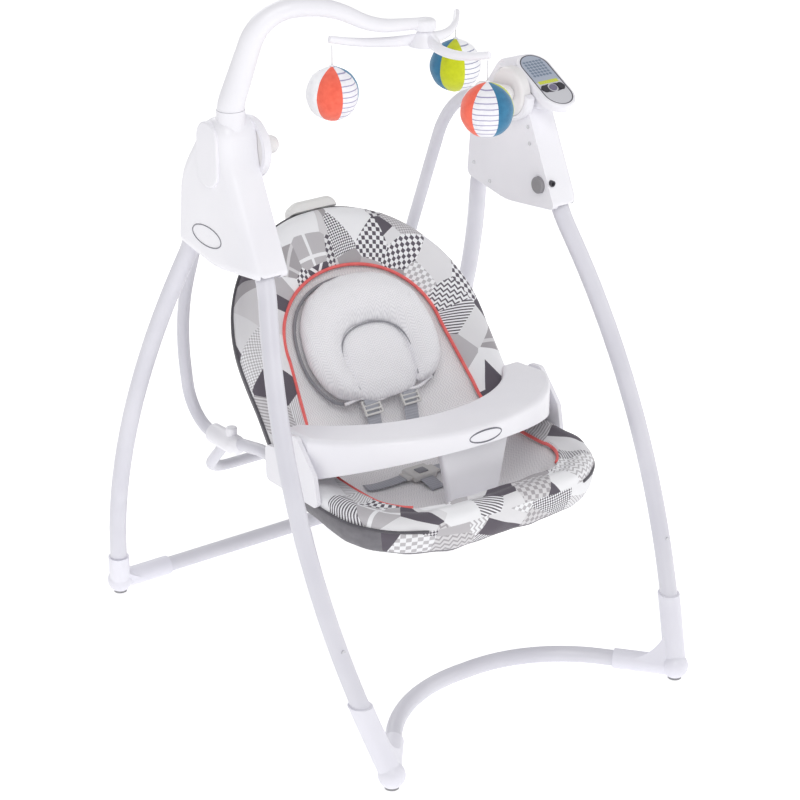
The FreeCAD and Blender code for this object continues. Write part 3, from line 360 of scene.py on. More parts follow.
liner_knit = knit("liner_knit", tone(250, 249, 250), tone(222, 220, 224))
pillow_knit = knit("pillow_knit", tone(246, 245, 248), tone(220, 219, 224), 0.0046, 0.006)
shell_cloth = plain_cloth("shell_cloth", tone(126, 124, 129), tone(112, 110, 116))
# Cloth for the dark band on the rim's outer edge: the grey side fabric, made darker by painted shade.
edge_shade_cloth = plain_cloth("side_fabric_painted_shade", tone(96, 94, 100), tone(84, 82, 88))
coral_cloth = plain_cloth("coral_piping", tone(243, 118, 116), tone(232, 100, 100), 0.0014)
pillow_piping = plain_cloth("pillow_piping", tone(150, 150, 156), tone(138, 138, 145))
grey_webbing = webbing("grey_webbing", tone(186, 188, 196), tone(160, 162, 171))

slot_finish = {
    "frame_paint": tube_coat, "white_plastic": plastic, "foot_plastic": foot_plastic,
    "grey_plastic": grey_plastic, "dark_plastic": dark_plastic, "panel_print": grey_plastic,
    "steel": steel, "brass": brass, "board": board_green, "cell": cell_wrap,
    "pad_rubber": rubber, "print_fabric": print_cloth, "liner_fabric": liner_knit,
    "pillow_fabric": pillow_knit, "webbing": grey_webbing, "ball_coral": grey_plastic,
    "ball_lime": grey_plastic, "ball_petrol": grey_plastic,
}
for row in frame["record"]["subparts"]:
    node = frame["nodes"][row["node"]]
    node.data.materials.clear()
    node.data.materials.append(slot_finish[row["material_slot"]])

# ------------------------------------------------------------------ camera, light, floor
view_yaw = math.radians(36.33)
view_pitch = math.radians(23.13)
camera_data = bpy.data.cameras.new("camera")
camera_data.lens = 115.25
camera_data.sensor_width = 36.0
camera_data.clip_end = 60.0
camera = bpy.data.objects.new("camera", camera_data)
bpy.context.scene.collection.objects.link(camera)
look = Vector((math.sin(view_yaw) * math.cos(view_pitch),
               math.cos(view_yaw) * math.cos(view_pitch), -math.sin(view_pitch)))
camera.matrix_world = Matrix.Translation((-2.19486, -3.01664, 2.00952)) @ \
    look.to_track_quat("-Z", "Y").to_matrix().to_4x4()
bpy.context.scene.camera = camera


def soft_light(name, place, target, size, power):
    data = bpy.data.lights.new(name, "AREA")
    data.shape = "DISK"
    data.size = size
    data.energy = power
    light = bpy.data.objects.new(name, data)
    bpy.context.scene.collection.objects.link(light)
    aim = (Vector(target) - Vector(place)).to_track_quat("-Z", "Y")
    light.matrix_world = Matrix.Translation(place) @ aim.to_matrix().to_4x4()


centre = (0, 0, 0.5)
soft_light("key", (-1.6, -2.6, 3.4), centre, 2.4, 52.0)
soft_light("fill", (3.2, -1.6, 1.8), centre, 2.6, 20.0)
soft_light("back", (0.6, 3.2, 2.6), centre, 2.4, 30.0)

world = bpy.data.worlds.new("studio")
world.use_nodes = True
world.node_tree.nodes["Background"].inputs[0].default_value = (1, 1, 1, 1)
world.node_tree.nodes["Background"].inputs[1].default_value = 0.53
bpy.context.scene.world = world
bpy.context.scene.view_settings.view_transform = "Standard"

floor_finish = Finish("studio_floor")
floor_place = floor_finish.object_place()
floor_finish.link(floor_finish.mix(floor_finish.noise(floor_place, 3.0),
                                   (0.93, 0.93, 0.93, 1), (0.95, 0.95, 0.95, 1)),
                  floor_finish.shader.inputs["Base Color"])
floor_finish.set(Roughness=0.9, Emission_Color=(1, 1, 1, 1), Emission_Strength=0.5)
bpy.ops.mesh.primitive_plane_add(size=40.0, location=(0, 0, -0.0015))
studio_floor = bpy.context.object
studio_floor.name = "studio_floor"
studio_floor.data.materials.append(floor_finish.material)
studio_floor.select_set(False)

# ------------------------------------------------------------------ padded pieces
def smooth_run(points, steps, closed=False):
    """Points along a smooth curve through the given ones."""
    count = len(points)
    found = []
    last = count if closed else count - 1
    for index in range(last):
        if closed:
            a, b, c, d = (points[(index + k) % count] for k in (-1, 0, 1, 2))
        else:
            b, c = points[index], points[index + 1]
            a = points[index - 1] if index else b * 2 - c
            d = points[index + 2] if index + 2 < count else c * 2 - b
        for step in range(steps):
            t = step / steps
            found.append(0.5 * (b * 2 + (c - a) * t + (a * 2 - b * 5 + c * 4 - d) * t ** 2
                                + (b * 3 - a - c * 3 + d) * t ** 3))
    if not closed:
        found.append(points[-1])
    return found


def skin(name, rings, materials, choose=None, closed=False, cap=True, lengths=None):
    """A skin over rings of points. Its cloth map is in metres, along and around."""
    count = len(rings[0])
    mesh = bpy.data.meshes.new(name)
    piece = bpy.data.objects.new(name, mesh)
    bpy.context.scene.collection.objects.link(piece)
    for material in materials:
        mesh.materials.append(material)
    built = bmesh.new()
    cloth = built.loops.layers.uv.new("cloth")
    verts = [[built.verts.new(point) for point in ring] for ring in rings]
    if lengths is None:
        lengths = [0.0]
        for one, two in zip(rings, rings[1:] + rings[:1]):
            gaps = [(q - p).length for p, q in zip(one, two)]
            lengths.append(lengths[-1] + sum(gaps) / len(gaps))
    around = []
    for ring in rings:
        run = [0.0]
        for index in range(count):
            run.append(run[-1] + (ring[(index + 1) % count] - ring[index]).length)
        around.append(run)
    total = len(rings) if closed else len(rings) - 1
    for row in range(total):
        after = (row + 1) % len(rings)
        for col in range(count):
            turn = (col + 1) % count
            face = built.faces.new((verts[row][col], verts[row][turn],
                                    verts[after][turn], verts[after][col]))
            face.smooth = True
            if choose:
                face.material_index = choose(row, col)
            spots = ((row, col), (row, col + 1), (row + 1, col + 1), (row + 1, col))
            for loop, (r, c) in zip(face.loops, spots):
                width = around[r % len(rings)]
                loop[cloth].uv = (lengths[r], width[c])
    if cap and not closed:
        for ring in (verts[0], list(reversed(verts[-1]))):
            face = built.faces.new(ring)
            face.smooth = True
    bmesh.ops.remove_doubles(built, verts=built.verts, dist=0.00002)
    bmesh.ops.dissolve_degenerate(built, edges=built.edges, dist=0.00002)
    bmesh.ops.recalc_face_normals(built, faces=built.faces)
    built.to_mesh(mesh)
    built.free()
    return piece


def tube(name, points, radius, material, sides=10, closed=False):
    """A round tube along the points."""
    rings = []
    count = len(points)
    side = None
    for index, point in enumerate(points):
        if closed:
            ahead = points[(index + 1) % count] - points[index - 1]
        else:
            ahead = points[min(index + 1, count - 1)] - points[max(index - 1, 0)]
        ahead.normalize()
        if side is None:
            side = ahead.orthogonal().normalized()
        side = (side - ahead * side.dot(ahead)).normalized()
        other = ahead.cross(side)
        ring = []
        for step in range(sides):
            angle = 2 * math.pi * step / sides
            ring.append(point + (side * math.cos(angle) + other * math.sin(angle)) * radius)
        rings.append(ring)
    return skin(name, rings, [material], closed=closed)


def ripple(piece, height, size, where=None, seed=0.0):
    """Soft, uneven puckers pressed into a mesh along its normals."""
    mesh = piece.data
    mesh.update()
    moves = []
    for vertex in mesh.vertices:
        share = where(vertex.co) if where else 1.0
        lift = noise.noise(vertex.co / size + Vector((seed, seed, seed)))
        moves.append(vertex.normal * (height * share * lift))
    for vertex, move in zip(mesh.vertices, moves):
        vertex.co += move


def finer(piece, levels=1):
    """Rounds a piece with an applied subdivision."""
    for thing in bpy.context.selected_objects:
        thing.select_set(False)
    bpy.context.view_layer.objects.active = piece
    piece.select_set(True)
    rounding = piece.modifiers.new("rounding", "SUBSURF")
    rounding.levels = levels
    rounding.render_levels = levels
    bpy.ops.object.modifier_apply(modifier=rounding.name)
    piece.select_set(False)


def across_recline(piece):
    """Bakes the piece's placement into its mesh."""
    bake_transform(piece)


# The rim is one padded ring: around the back hoop, down past the recline axis and
# around the front lip. Each stop has a centre, an inward and an upward direction, the
# width of the flap to the piping, the height of the piping and the skirt below.
class Stop:
    def __init__(self, centre, inward, up, flap, lift, skirt):
        self.centre = centre
        self.inward = inward.normalized()
        self.up = up.normalized()
        self.flap = flap
        self.lift = lift
        self.skirt = skirt

    def at(self, across, height):
        return self.centre + self.inward * across + self.up * height


def right_half_rim():
    stops = []
    arc_steps = 20
    for step in range(arc_steps + 1):
        angle = 0.5 * math.pi * step / arc_steps
        out = X * math.sin(angle) + slope_up * math.cos(angle)
        crown = math.cos(angle) ** 2
        place = on_slope(0, hoop_centre) + out * hoop_radius
        reach = piping_side + (piping_top - hoop_centre - piping_side) * crown
        stops.append(Stop(place, -out, -slope_back, hoop_radius - reach, 0.0015, 0.004))
    for step in range(1, 7):
        along = hoop_centre - (hoop_centre - 0.02) * step / 6
        reach = piping_low + (piping_side - piping_low) * along / hoop_centre
        stops.append(Stop(on_slope(hoop_radius, along), -X, -slope_back,
                          hoop_radius - reach, 0.0015, 0.005))
    top = on_slope(hoop_radius, 0.02)
    low = Vector((side_x, -0.125, lip_height + 0.0015))
    handles = (top, top - slope_up * 0.05, low + Y * 0.045, low)
    bend_steps = 9
    for step in range(1, bend_steps + 1):
        t = step / bend_steps
        weights = ((1 - t) ** 3, 3 * t * (1 - t) ** 2, 3 * t ** 2 * (1 - t), t ** 3)
        place = sum((h * w for h, w in zip(handles, weights)), Vector())
        share = t * t * (3 - 2 * t)
        up = (-slope_back).lerp(Z, share)
        flap = 0.0495 + (0.044 - 0.0495) * share
        stops.append(Stop(place, -X, up, flap, 0.0015 + 0.0085 * share,
                          0.005 + 0.012 * share))
    for step in (1, 2):
        place = Vector((side_x, low.y + (lip_corner_y - low.y) * step / 2, lip_height))
        stops.append(Stop(place, -X, Z, 0.044, 0.011, 0.017 + 0.003 * step))
    for step in range(1, 13):
        angle = 0.5 * math.pi * step / 12
        out = X * math.cos(angle) - Y * math.sin(angle)
        place = Vector((side_x - lip_radius, lip_corner_y, lip_height)) + out * lip_radius
        share = step / 12
        stops.append(Stop(place, -out, Z, 0.044 - 0.016 * share, 0.012,
                          0.023 + 0.004 * share))
    for step in range(1, 7):
        place = Vector(((side_x - lip_radius) * (1 - step / 6), lip_front, lip_height))
        stops.append(Stop(place, Y, Z, 0.028, 0.012, 0.027))
    return stops


def mirror_stop(stop):
    flip = Vector((-1, 1, 1))
    return Stop(stop.centre * flip, stop.inward * flip, stop.up, stop.flap, stop.lift,
                stop.skirt)


right_rim = right_half_rim()
left_rim = [mirror_stop(stop) for stop in reversed(right_rim[1:-1])]
rim = right_rim + left_rim
section_steps = 3


def rim_section(stop):
    """The padded rim cut across: outer roll, flap to the piping, and the turn under."""
    r, f, k = rim_radius, stop.flap, stop.skirt
    outline = [(-r, -0.001), (-0.78 * r, 0.68 * r), (-0.05 * r, r), (0.28 * f, 0.92 * r),
               (0.6 * f, 0.62 * r + 0.2 * stop.lift), (0.88 * f, stop.lift + 0.0042),
               (f, stop.lift), (f - 0.003, stop.lift - 0.006), (0.68 * f, -0.006),
               (0.30 * f, -0.6 * r - 0.4 * k), (0.05 * r, -r - k),
               (-0.62 * r, -0.9 * r - 0.9 * k), (-1.02 * r, -0.45 * r - 0.4 * k)]
    flat = smooth_run([Vector((i, h, 0)) for i, h in outline], section_steps, closed=True)
    return [stop.at(point.x, point.y) for point in flat]


side_columns = range(11 * section_steps, 13 * section_steps)
bottom_columns = range(8 * section_steps, 11 * section_steps)
front_from = len(right_rim) - 14
front_to = len(rim) - front_from


def rim_cloth(row, col):
    at_front = front_from <= row < front_to
    if col in bottom_columns or (col in side_columns and not at_front):
        return 1
    return 0


rim_rings = [rim_section(stop) for stop in rim]
seat_cover = skin("seat_cover", rim_rings, [print_cloth, shell_cloth], rim_cloth, closed=True)


def front_share(point):
    """1 at the gathered front lip, less on the smooth back."""
    return 0.35 + 0.65 * max(0.0, min(1.0, (-0.10 - point.y) / 0.12))


ripple(seat_cover, 0.0042, 0.030, front_share)
ripple(seat_cover, 0.0020, 0.012, front_share, seed=3.0)
finer(seat_cover)
across_recline(seat_cover)
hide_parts("seat_cover_back", "seat_cover_front")


def rim_line(stops, across, height):
    return [stop.at(across(stop), height(stop)) for stop in stops]


piping_end = len(right_rim) - 10
piping_stops = left_rim[len(left_rim) - piping_end + 1:] + right_rim[:piping_end]
piping_points = smooth_run(rim_line(piping_stops, lambda s: s.flap + 0.0008,
                                    lambda s: s.lift + 0.0012), 3)
piping = tube("coral_piping", piping_points, 0.0028, coral_cloth)
across_recline(piping)

# A dark band along the rim's outer edge: partly the grey side fabric, partly painted shade on it.
shade_band_end = len(right_rim) - 9
shade_band_stops = left_rim[len(left_rim) - shade_band_end + 1:] + right_rim[:shade_band_end]
shade_band_points = smooth_run(rim_line(shade_band_stops, lambda s: -rim_radius - 0.0004,
                                     lambda s: -0.002), 3)
shade_band = tube("painted_shade_edge_band", shade_band_points, 0.0024, edge_shade_cloth)
across_recline(shade_band)

# The liner and the outer sling are one padded body, cut across in stations that run
# down the back, through the fold and along the pan to the lip.
def seat_stations():
    """Inner edge, inner middle, outer edge and outer middle of each station."""
    stations = []
    tuck = 0.010
    arc_steps = 14
    for step in range(arc_steps + 1):
        angle = 0.5 * math.pi * step / arc_steps
        rise, width = math.cos(angle), math.sin(angle)
        in_w = (piping_side + tuck) * width
        in_a = hoop_centre + (piping_top + tuck - hoop_centre) * rise
        out_w = (hoop_radius - 0.007) * width
        out_a = hoop_centre + (hoop_radius - 0.007) * rise
        dip = 0.010 * width ** 2
        stations.append((in_w, on_slope(0, in_a, 0.0035), on_slope(0, in_a, 0.0035 + dip),
                         out_w, on_slope(0, out_a, 0.008),
                         on_slope(0, out_a, 0.012 + 0.044 * width ** 1.5)))
    for step in range(1, 7):
        share = step / 6
        along = hoop_centre * (1 - share)
        in_w = piping_side + (piping_low - piping_side) * share + tuck
        stations.append((in_w, on_slope(0, along, 0.0035),
                         on_slope(0, along, 0.0135 + 0.018 * share ** 2),
                         hoop_radius - 0.007, on_slope(0, along, 0.008),
                         on_slope(0, along, 0.056 + 0.022 * share)))
    edge_in = [(-0.050, 0.376), (-0.085, 0.3645), (-0.125, 0.3605), (-0.165, 0.3605),
               (-0.200, 0.3605), (-0.232, 0.3600), (-0.252, 0.3595), (-0.263, 0.3590)]
    middle_in = [(-0.020, 0.341), (-0.050, 0.320), (-0.090, 0.313), (-0.135, 0.311),
                 (-0.178, 0.312), (-0.217, 0.318), (-0.248, 0.334), (-0.263, 0.3590)]
    edge_out = [(-0.045, 0.362), (-0.082, 0.347), (-0.125, 0.341), (-0.165, 0.340),
                (-0.205, 0.340), (-0.245, 0.339), (-0.272, 0.338), (-0.286, 0.336)]
    middle_out = [(-0.002, 0.302), (-0.040, 0.285), (-0.085, 0.2815), (-0.135, 0.281),
                  (-0.182, 0.283), (-0.225, 0.289), (-0.262, 0.301), (-0.284, 0.318)]
    widths_in = [0.173, 0.174, 0.174, 0.174, 0.171, 0.158, 0.136, 0.100]
    widths_out = [0.206, 0.207, 0.207, 0.207, 0.200, 0.178, 0.145, 0.104]
    for index in range(len(edge_in)):
        spots = [Vector((0, *line[index])) for line in (edge_in, middle_in, edge_out,
                                                        middle_out)]
        stations.append((widths_in[index], spots[0], spots[1], widths_out[index], spots[2],
                         spots[3]))
    return stations


def smooth_stations(stations, steps):
    """More stations between the given ones, on smooth curves."""
    packed = []
    for in_w, in_edge, in_mid, out_w, out_edge, out_mid in stations:
        packed.append(np.array([in_w, *in_edge, *in_mid, out_w, *out_edge, *out_mid]))
    return smooth_run(packed, steps)


inner_steps = 28
outer_steps = 28


def seat_section(values, station_share):
    in_w, out_w = values[0], values[7]
    in_edge, in_mid = Vector(values[1:4]), Vector(values[4:7])
    out_edge, out_mid = Vector(values[8:11]), Vector(values[11:14])
    flat = 2.4 + 2.6 * station_share
    ring = []
    for step in range(inner_steps + 1):
        across = -1 + 2 * step / inner_steps
        place = in_edge.lerp(in_mid, 1 - abs(across) ** flat)
        ring.append(place + X * (in_w * across))
    for step in range(outer_steps + 1):
        across = 1 - 2 * step / outer_steps
        place = out_edge.lerp(out_mid, (1 - abs(across) ** 2.6) ** 0.8)
        ring.append(place + X * (out_w * across))
    return ring


station_rows = smooth_stations(seat_stations(), 2)
back_rows = 2 * 20
seat_rings = []
for row, values in enumerate(station_rows):
    share = max(0.0, min(1.0, (row - back_rows) / 6))
    seat_rings.append(seat_section(values, share))


def seat_cloth(row, col):
    return 0 if col < inner_steps else 1


seat_lining = skin("seat_lining", seat_rings, [liner_knit, shell_cloth], seat_cloth)
ripple(seat_lining, 0.0035, 0.05)
ripple(seat_lining, 0.0012, 0.016, seed=5.0)
finer(seat_lining)
across_recline(seat_lining)
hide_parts("seat_back", "seat_pan")


# ------------------------------------------------------------------ head pillow
def cloth_from_plane(piece):
    """A flat cloth map, across and up the slope, for a cushion seen from the front."""
    mesh = piece.data
    layer = mesh.uv_layers.get("cloth") or mesh.uv_layers.new(name="cloth")
    for loop in mesh.loops:
        offset = mesh.vertices[loop.vertex_index].co - recline_axis
        layer.data[loop.index].uv = (offset.x, offset.dot(slope_up) + 0.6 * offset.dot(slope_back))


def apply_modifier(piece, kind, **settings):
    for thing in bpy.context.selected_objects:
        thing.select_set(False)
    bpy.context.view_layer.objects.active = piece
    piece.select_set(True)
    modifier = piece.modifiers.new(kind.lower(), kind)
    for key, value in settings.items():
        setattr(modifier, key, value)
    bpy.ops.object.modifier_apply(modifier=modifier.name)
    piece.select_set(False)


def filled(piece, cell, limit):
    """Fills a closed cushion by a short cloth run, with its swelling kept small."""
    apply_modifier(piece, "REMESH", mode="VOXEL", voxel_size=cell)
    sack = piece.copy()
    sack.data = piece.data.copy()
    bpy.context.scene.collection.objects.link(sack)
    cloth = sack.modifiers.new("fill", "CLOTH")
    cloth.settings.use_pressure = True
    cloth.settings.uniform_pressure_force = 4.0
    cloth.settings.effector_weights.gravity = 0.0
    cloth.settings.quality = 4
    cloth.point_cache.frame_start = 1
    cloth.point_cache.frame_end = 20
    for moment in range(1, 21):
        bpy.context.scene.frame_set(moment)
    swollen = sack.evaluated_get(bpy.context.evaluated_depsgraph_get()).data
    moves = [two.co - one.co for one, two in zip(piece.data.vertices, swollen.vertices)]
    for vertex, move in zip(piece.data.vertices, moves):
        if move.length > limit:
            move = move * (limit / move.length)
        vertex.co += move
    bpy.data.objects.remove(sack)
    bpy.context.scene.frame_set(1)
    apply_modifier(piece, "SMOOTH", factor=0.5, iterations=3)
    finer(piece)
    for face in piece.data.polygons:
        face.use_smooth = True
    cloth_from_plane(piece)


def right_and_left(points):
    """A half outline from the foot to the crown, carried over to the other side."""
    return points + [(-x, along) for x, along in reversed(points[:-1])]


roll_outer = right_and_left([(0.066, 0.040), (0.094, 0.050), (0.113, 0.074), (0.1235, 0.108),
                             (0.1235, 0.142), (0.116, 0.176), (0.098, 0.206), (0.068, 0.229),
                             (0.035, 0.240), (0.0, 0.243)])
roll_inner = right_and_left([(0.052, 0.045), (0.058, 0.060), (0.063, 0.080), (0.0645, 0.100),
                             (0.062, 0.118), (0.055, 0.133), (0.044, 0.144), (0.030, 0.151),
                             (0.015, 0.1545), (0.0, 0.1555)])
pillow_equator = -0.014
pillow_rise = 0.023
outer_run = smooth_run([Vector((x, a, 0)) for x, a in roll_outer], 3)
inner_run = smooth_run([Vector((x, a, 0)) for x, a in roll_inner], 3)
roll_rings = []
for index, (out, inn) in enumerate(zip(outer_run, inner_run)):
    share = min(index, len(outer_run) - 1 - index) / 5
    swell = math.sqrt(min(1.0, 0.18 + share))
    middle, half = (out + inn) / 2, (out - inn) / 2
    ring = []
    for step in range(20):
        angle = 2 * math.pi * step / 20
        flat = middle + half * (math.cos(angle) * (0.6 + 0.4 * swell))
        behind = pillow_equator - math.sin(angle) * pillow_rise * swell
        ring.append(on_slope(flat.x, flat.y, behind))
    roll_rings.append(ring)
pillow_roll = skin("pillow_roll", roll_rings, [pillow_knit])
filled(pillow_roll, 0.005, 0.003)
ripple(pillow_roll, 0.0016, 0.022, seed=2.0)

pad_outline = [(0.0, 0.030), (0.034, 0.033), (0.057, 0.042), (0.066, 0.062), (0.071, 0.085),
               (0.072, 0.104), (0.069, 0.126), (0.060, 0.143), (0.044, 0.156), (0.022, 0.163),
               (0.0, 0.165)]
pad_outline += [(-x, along) for x, along in reversed(pad_outline[1:-1])]
pad_points = smooth_run([Vector((x, a, 0)) for x, a in pad_outline], 3, closed=True)
pad_middle = Vector((0, 0.095, 0))
pad_rings = []
for step in range(9):
    angle = math.pi * (step / 8 - 0.5)
    size = max(0.04, math.cos(angle) ** 0.6)
    behind = -0.007 - 0.0165 * math.sin(angle)
    pad_rings.append([on_slope(*(pad_middle + (p - pad_middle) * size).xy, behind)
                      for p in pad_points])
pillow_pad = skin("pillow_pad", pad_rings, [pillow_knit])
filled(pillow_pad, 0.005, 0.002)
ripple(pillow_pad, 0.0014, 0.026, seed=7.0)

seam_line = [on_slope(p.x * 1.01, 0.101 + (p.y - 0.101) * 1.005, -0.0205)
             for p in inner_run[2:-2]]
pillow_seam = tube("pillow_seam", seam_line, 0.0013, pillow_piping)
edge_line = [on_slope(p.x * 1.006, 0.141 + (p.y - 0.141) * 1.006, 0.0015)
             for p in outer_run[1:-1]]
pillow_edge = tube("pillow_edge_piping", edge_line, 0.0026, pillow_piping)
foot_points = []
for step in range(25):
    across = -1 + 2 * step / 24
    dip = 0.0035 * math.sin(7.5 * across) + 0.006 * across ** 2
    foot_points.append(on_slope(0.086 * across, 0.0375 + dip, -0.006 - 0.004 * across ** 2))
pillow_hem = tube("pillow_hem", smooth_run(foot_points, 2), 0.0028, pillow_knit)
for piece in (pillow_roll, pillow_pad, pillow_seam, pillow_edge, pillow_hem):
    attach(piece, "seat_back")
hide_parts("head_pillow")


# ------------------------------------------------------------------ straps and buckles
def tape(name, points, faces_to, width, material, thickness=0.0016):
    """Flat webbing along the points, its face turned to one side."""
    rings = []
    for index, point in enumerate(points):
        ahead = points[min(index + 1, len(points) - 1)] - points[max(index - 1, 0)]
        out = (faces_to - ahead * (faces_to.dot(ahead) / ahead.length_squared)).normalized()
        side = ahead.cross(out).normalized()
        ring = []
        for across, lift in ((-1, -0.6), (-0.94, -1), (0.94, -1), (1, -0.6), (1, 0.6),
                             (0.94, 1), (-0.94, 1), (-1, 0.6)):
            ring.append(point + side * (across * width / 2) + out * (lift * thickness / 2))
        rings.append(ring)
    return skin(name, rings, [material])


def bar(size, middle, turn, material, rounding=0.0012):
    """A bevelled block. Its size runs along the turned axes."""
    for thing in bpy.context.selected_objects:
        thing.select_set(False)
    bpy.ops.mesh.primitive_cube_add(size=1.0)
    block = bpy.context.object
    block.data.transform(Matrix.Diagonal((*size, 1.0)))
    apply_modifier(block, "BEVEL", width=rounding, segments=3)
    block.data.transform(Matrix.Translation(middle) @ turn.to_4x4())
    block.data.materials.append(material)
    return block


def joined(name, blocks):
    for thing in bpy.context.selected_objects:
        thing.select_set(False)
    for block in blocks:
        block.select_set(True)
    bpy.context.view_layer.objects.active = blocks[0]
    bpy.ops.object.join()
    whole = bpy.context.object
    whole.name = name
    whole.data.name = name
    whole.select_set(True)
    bpy.ops.object.shade_smooth_by_angle(angle=math.radians(35))
    whole.select_set(False)
    return whole


def frame_of(across, ahead):
    """Axes with X across, Y ahead and Z out of the face."""
    out = across.cross(ahead).normalized()
    return Matrix((across.normalized(), ahead.normalized(), out)).transposed()


slope_turn = frame_of(X, slope_up)
strap_pieces = []
for side, side_name in ((1, "right"), (-1, "left")):
    x = 0.037 * side
    path = [on_slope(x, 0.064, 0.002), on_slope(x, 0.046, -0.006), on_slope(x, 0.036, -0.007),
            on_slope(x * 0.98, 0.016, 0.0015), on_slope(x * 0.96, -0.006, 0.011),
            on_slope(x * 0.94, -0.022, 0.017)]
    strap = tape("shoulder_strap_" + side_name, smooth_run(path, 5), -slope_back, 0.025,
                 grey_webbing)
    slider_middle = on_slope(x, 0.026, -0.0035)
    parts = []
    for rail in (-1, 1):
        parts.append(bar((0.003, 0.026, 0.005), slider_middle + X * (0.0155 * rail), slope_turn,
                         grey_plastic))
    for rung in (-1, -0.35, 0.35, 1):
        parts.append(bar((0.032, 0.0034, 0.0045), slider_middle + slope_up * (0.0113 * rung),
                         slope_turn, grey_plastic))
    strap_pieces += [strap, joined("strap_slider_" + side_name, parts)]
for piece in strap_pieces:
    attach(piece, "seat_back")
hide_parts("shoulder_straps")

buckle_middle = Vector((0, -0.084, 0.3205))
upright = frame_of(X, Y)
buckle_body = bar((0.044, 0.038, 0.011), buckle_middle, upright, grey_plastic, 0.0035)
buckle_key = bar((0.018, 0.016, 0.003), buckle_middle + Vector((0, -0.004, 0.006)), upright,
                 pillow_piping, 0.0012)
tongues = [bar((0.012, 0.024, 0.005), buckle_middle + X * (0.026 * side), upright,
               grey_plastic) for side in (1, -1)]
buckle = joined("harness_buckle", [buckle_body, buckle_key] + tongues)
harness_pieces = [buckle]
for side, side_name in ((1, "right"), (-1, "left")):
    path = [buckle_middle + Vector((0.028 * side, 0, 0)),
            buckle_middle + Vector((0.055 * side, 0.001, -0.002)),
            buckle_middle + Vector((0.082 * side, 0.003, -0.0025)),
            buckle_middle + Vector((0.101 * side, 0.006, -0.001))]
    harness_pieces.append(tape("waist_strap_" + side_name, smooth_run(path, 5), Z, 0.021,
                               grey_webbing))
crotch_path = [buckle_middle + Vector((0, -0.016, -0.001)),
               buckle_middle + Vector((0, -0.034, -0.004)),
               buckle_middle + Vector((0, -0.050, -0.008))]
harness_pieces.append(tape("crotch_strap", smooth_run(crotch_path, 5), Z, 0.025,
                           grey_webbing))
for piece in harness_pieces:
    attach(piece, "carriage")
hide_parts("lap_harness")

# ------------------------------------------------------------------ mobile balls
plush_white = plush("plush_white", tone(250, 250, 252), tone(240, 240, 245))
plush_coral = plush("plush_coral", tone(250, 112, 88), tone(240, 98, 76))
plush_lime = plush("plush_lime", tone(208, 216, 20), tone(196, 204, 12))
plush_petrol = plush("plush_petrol", tone(52, 126, 166), tone(42, 112, 152))
plush_lilac = plush("plush_lilac_bands", tone(248, 247, 251), tone(238, 237, 244), 0.9,
                    tone(160, 154, 190))
plush_grey = plush("plush_grey_bands", tone(250, 250, 252), tone(240, 240, 246), 0.9,
                   tone(150, 152, 178))
cord_white = plain_cloth("hanging_string", tone(238, 238, 240), tone(222, 222, 226), 0.0007)
gore_cloths = [plush_white, plush_coral, plush_lilac, plush_petrol, plush_lime, plush_grey]
first_gore = {"mobile_ball_1": -375.0, "mobile_ball_2": -191.0, "mobile_ball_3": -252.0}
gore_columns = 12
ball_rows = 34


def plush_ball(node):
    """A ball sewn from six gores that bulge between their seams."""
    low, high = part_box(node)
    radius = (high.x - low.x) / 2
    middle = Vector(((low.x + high.x) / 2, (low.y + high.y) / 2, low.z + radius))
    rings = []
    for row in range(ball_rows + 1):
        angle = math.pi * min(max(row / ball_rows, 0.012), 0.988)
        level = math.cos(angle)
        peak = 0.055 * math.exp(-(angle / 0.22) ** 2) if angle < 1.5 else 0.0
        ring = []
        for column in range(6 * gore_columns):
            part = (column % gore_columns) / gore_columns
            bulge = math.sin(math.pi * part) ** 0.7 if part else 0.0
            pinch = 0.045 * (1 - bulge) * math.sin(angle) ** 0.5
            turn = math.radians(first_gore[node] - 30.0) + 2 * math.pi * column / (
                6 * gore_columns)
            reach = radius * 0.995 * math.sin(angle) * (1 - pinch)
            ring.append(middle + Vector((math.cos(turn) * reach, math.sin(turn) * reach,
                                         level * radius * (0.99 + peak))))
        rings.append(ring)
    ball = skin(node + "_plush", rings, gore_cloths, lambda row, col: col // gore_columns)
    ripple(ball, 0.0009, 0.014, seed=middle.x * 9)
    finer(ball)
    tie = skin(node + "_tie", [[middle + Vector((math.cos(t) * r, math.sin(t) * r, z))
                                for t in (2 * math.pi * k / 10 for k in range(10))]
                               for r, z in ((0.0006, radius * 1.03), (0.0036, radius * 1.035),
                                            (0.0042, radius * 1.06), (0.0030, radius * 1.09),
                                            (0.0006, radius * 1.10))], [plush_white])
    string_top = Vector((middle.x, middle.y, high.z - 0.0005))
    string_foot = middle + Z * (radius * 1.08)
    string = tube(node + "_string", [string_foot, (string_foot + string_top) / 2, string_top],
                  0.0009, cord_white, 8)
    return ball, tie, string


for number, slot_name in ((1, "ball_lime"), (2, "ball_coral"), (3, "ball_petrol")):
    ball_node = "mobile_ball_" + str(number)
    ball_parts = plush_ball(ball_node)
    for piece in ball_parts:
        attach(piece, "ball_" + str(number))
    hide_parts(ball_node)


# ------------------------------------------------------------------ badges
def oval_ring(name, place, half_wide, half_high, thick, body):
    """A raised oval ring on a face. place gives a point for an offset across and up."""
    points = []
    for step in range(64):
        angle = 2 * math.pi * step / 64
        points.append(place(half_wide * math.cos(angle), half_high * math.sin(angle)))
    ring = tube(name, points, thick, badge_grey, 8, closed=True)
    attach(ring, body)
    return ring


badge_grey = moulded("badge_grey", tone(118, 118, 128), tone(106, 106, 116), 0.4)
side_low, side_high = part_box("housing_left_outer")
oval_ring("side_badge", lambda a, b: Vector((side_low.x, 0.034 + a, 0.745 + b)),
          0.039, 0.0155, 0.0009, "rear_frame")
tray_low, tray_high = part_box("tray")
tray_curve = 0.20


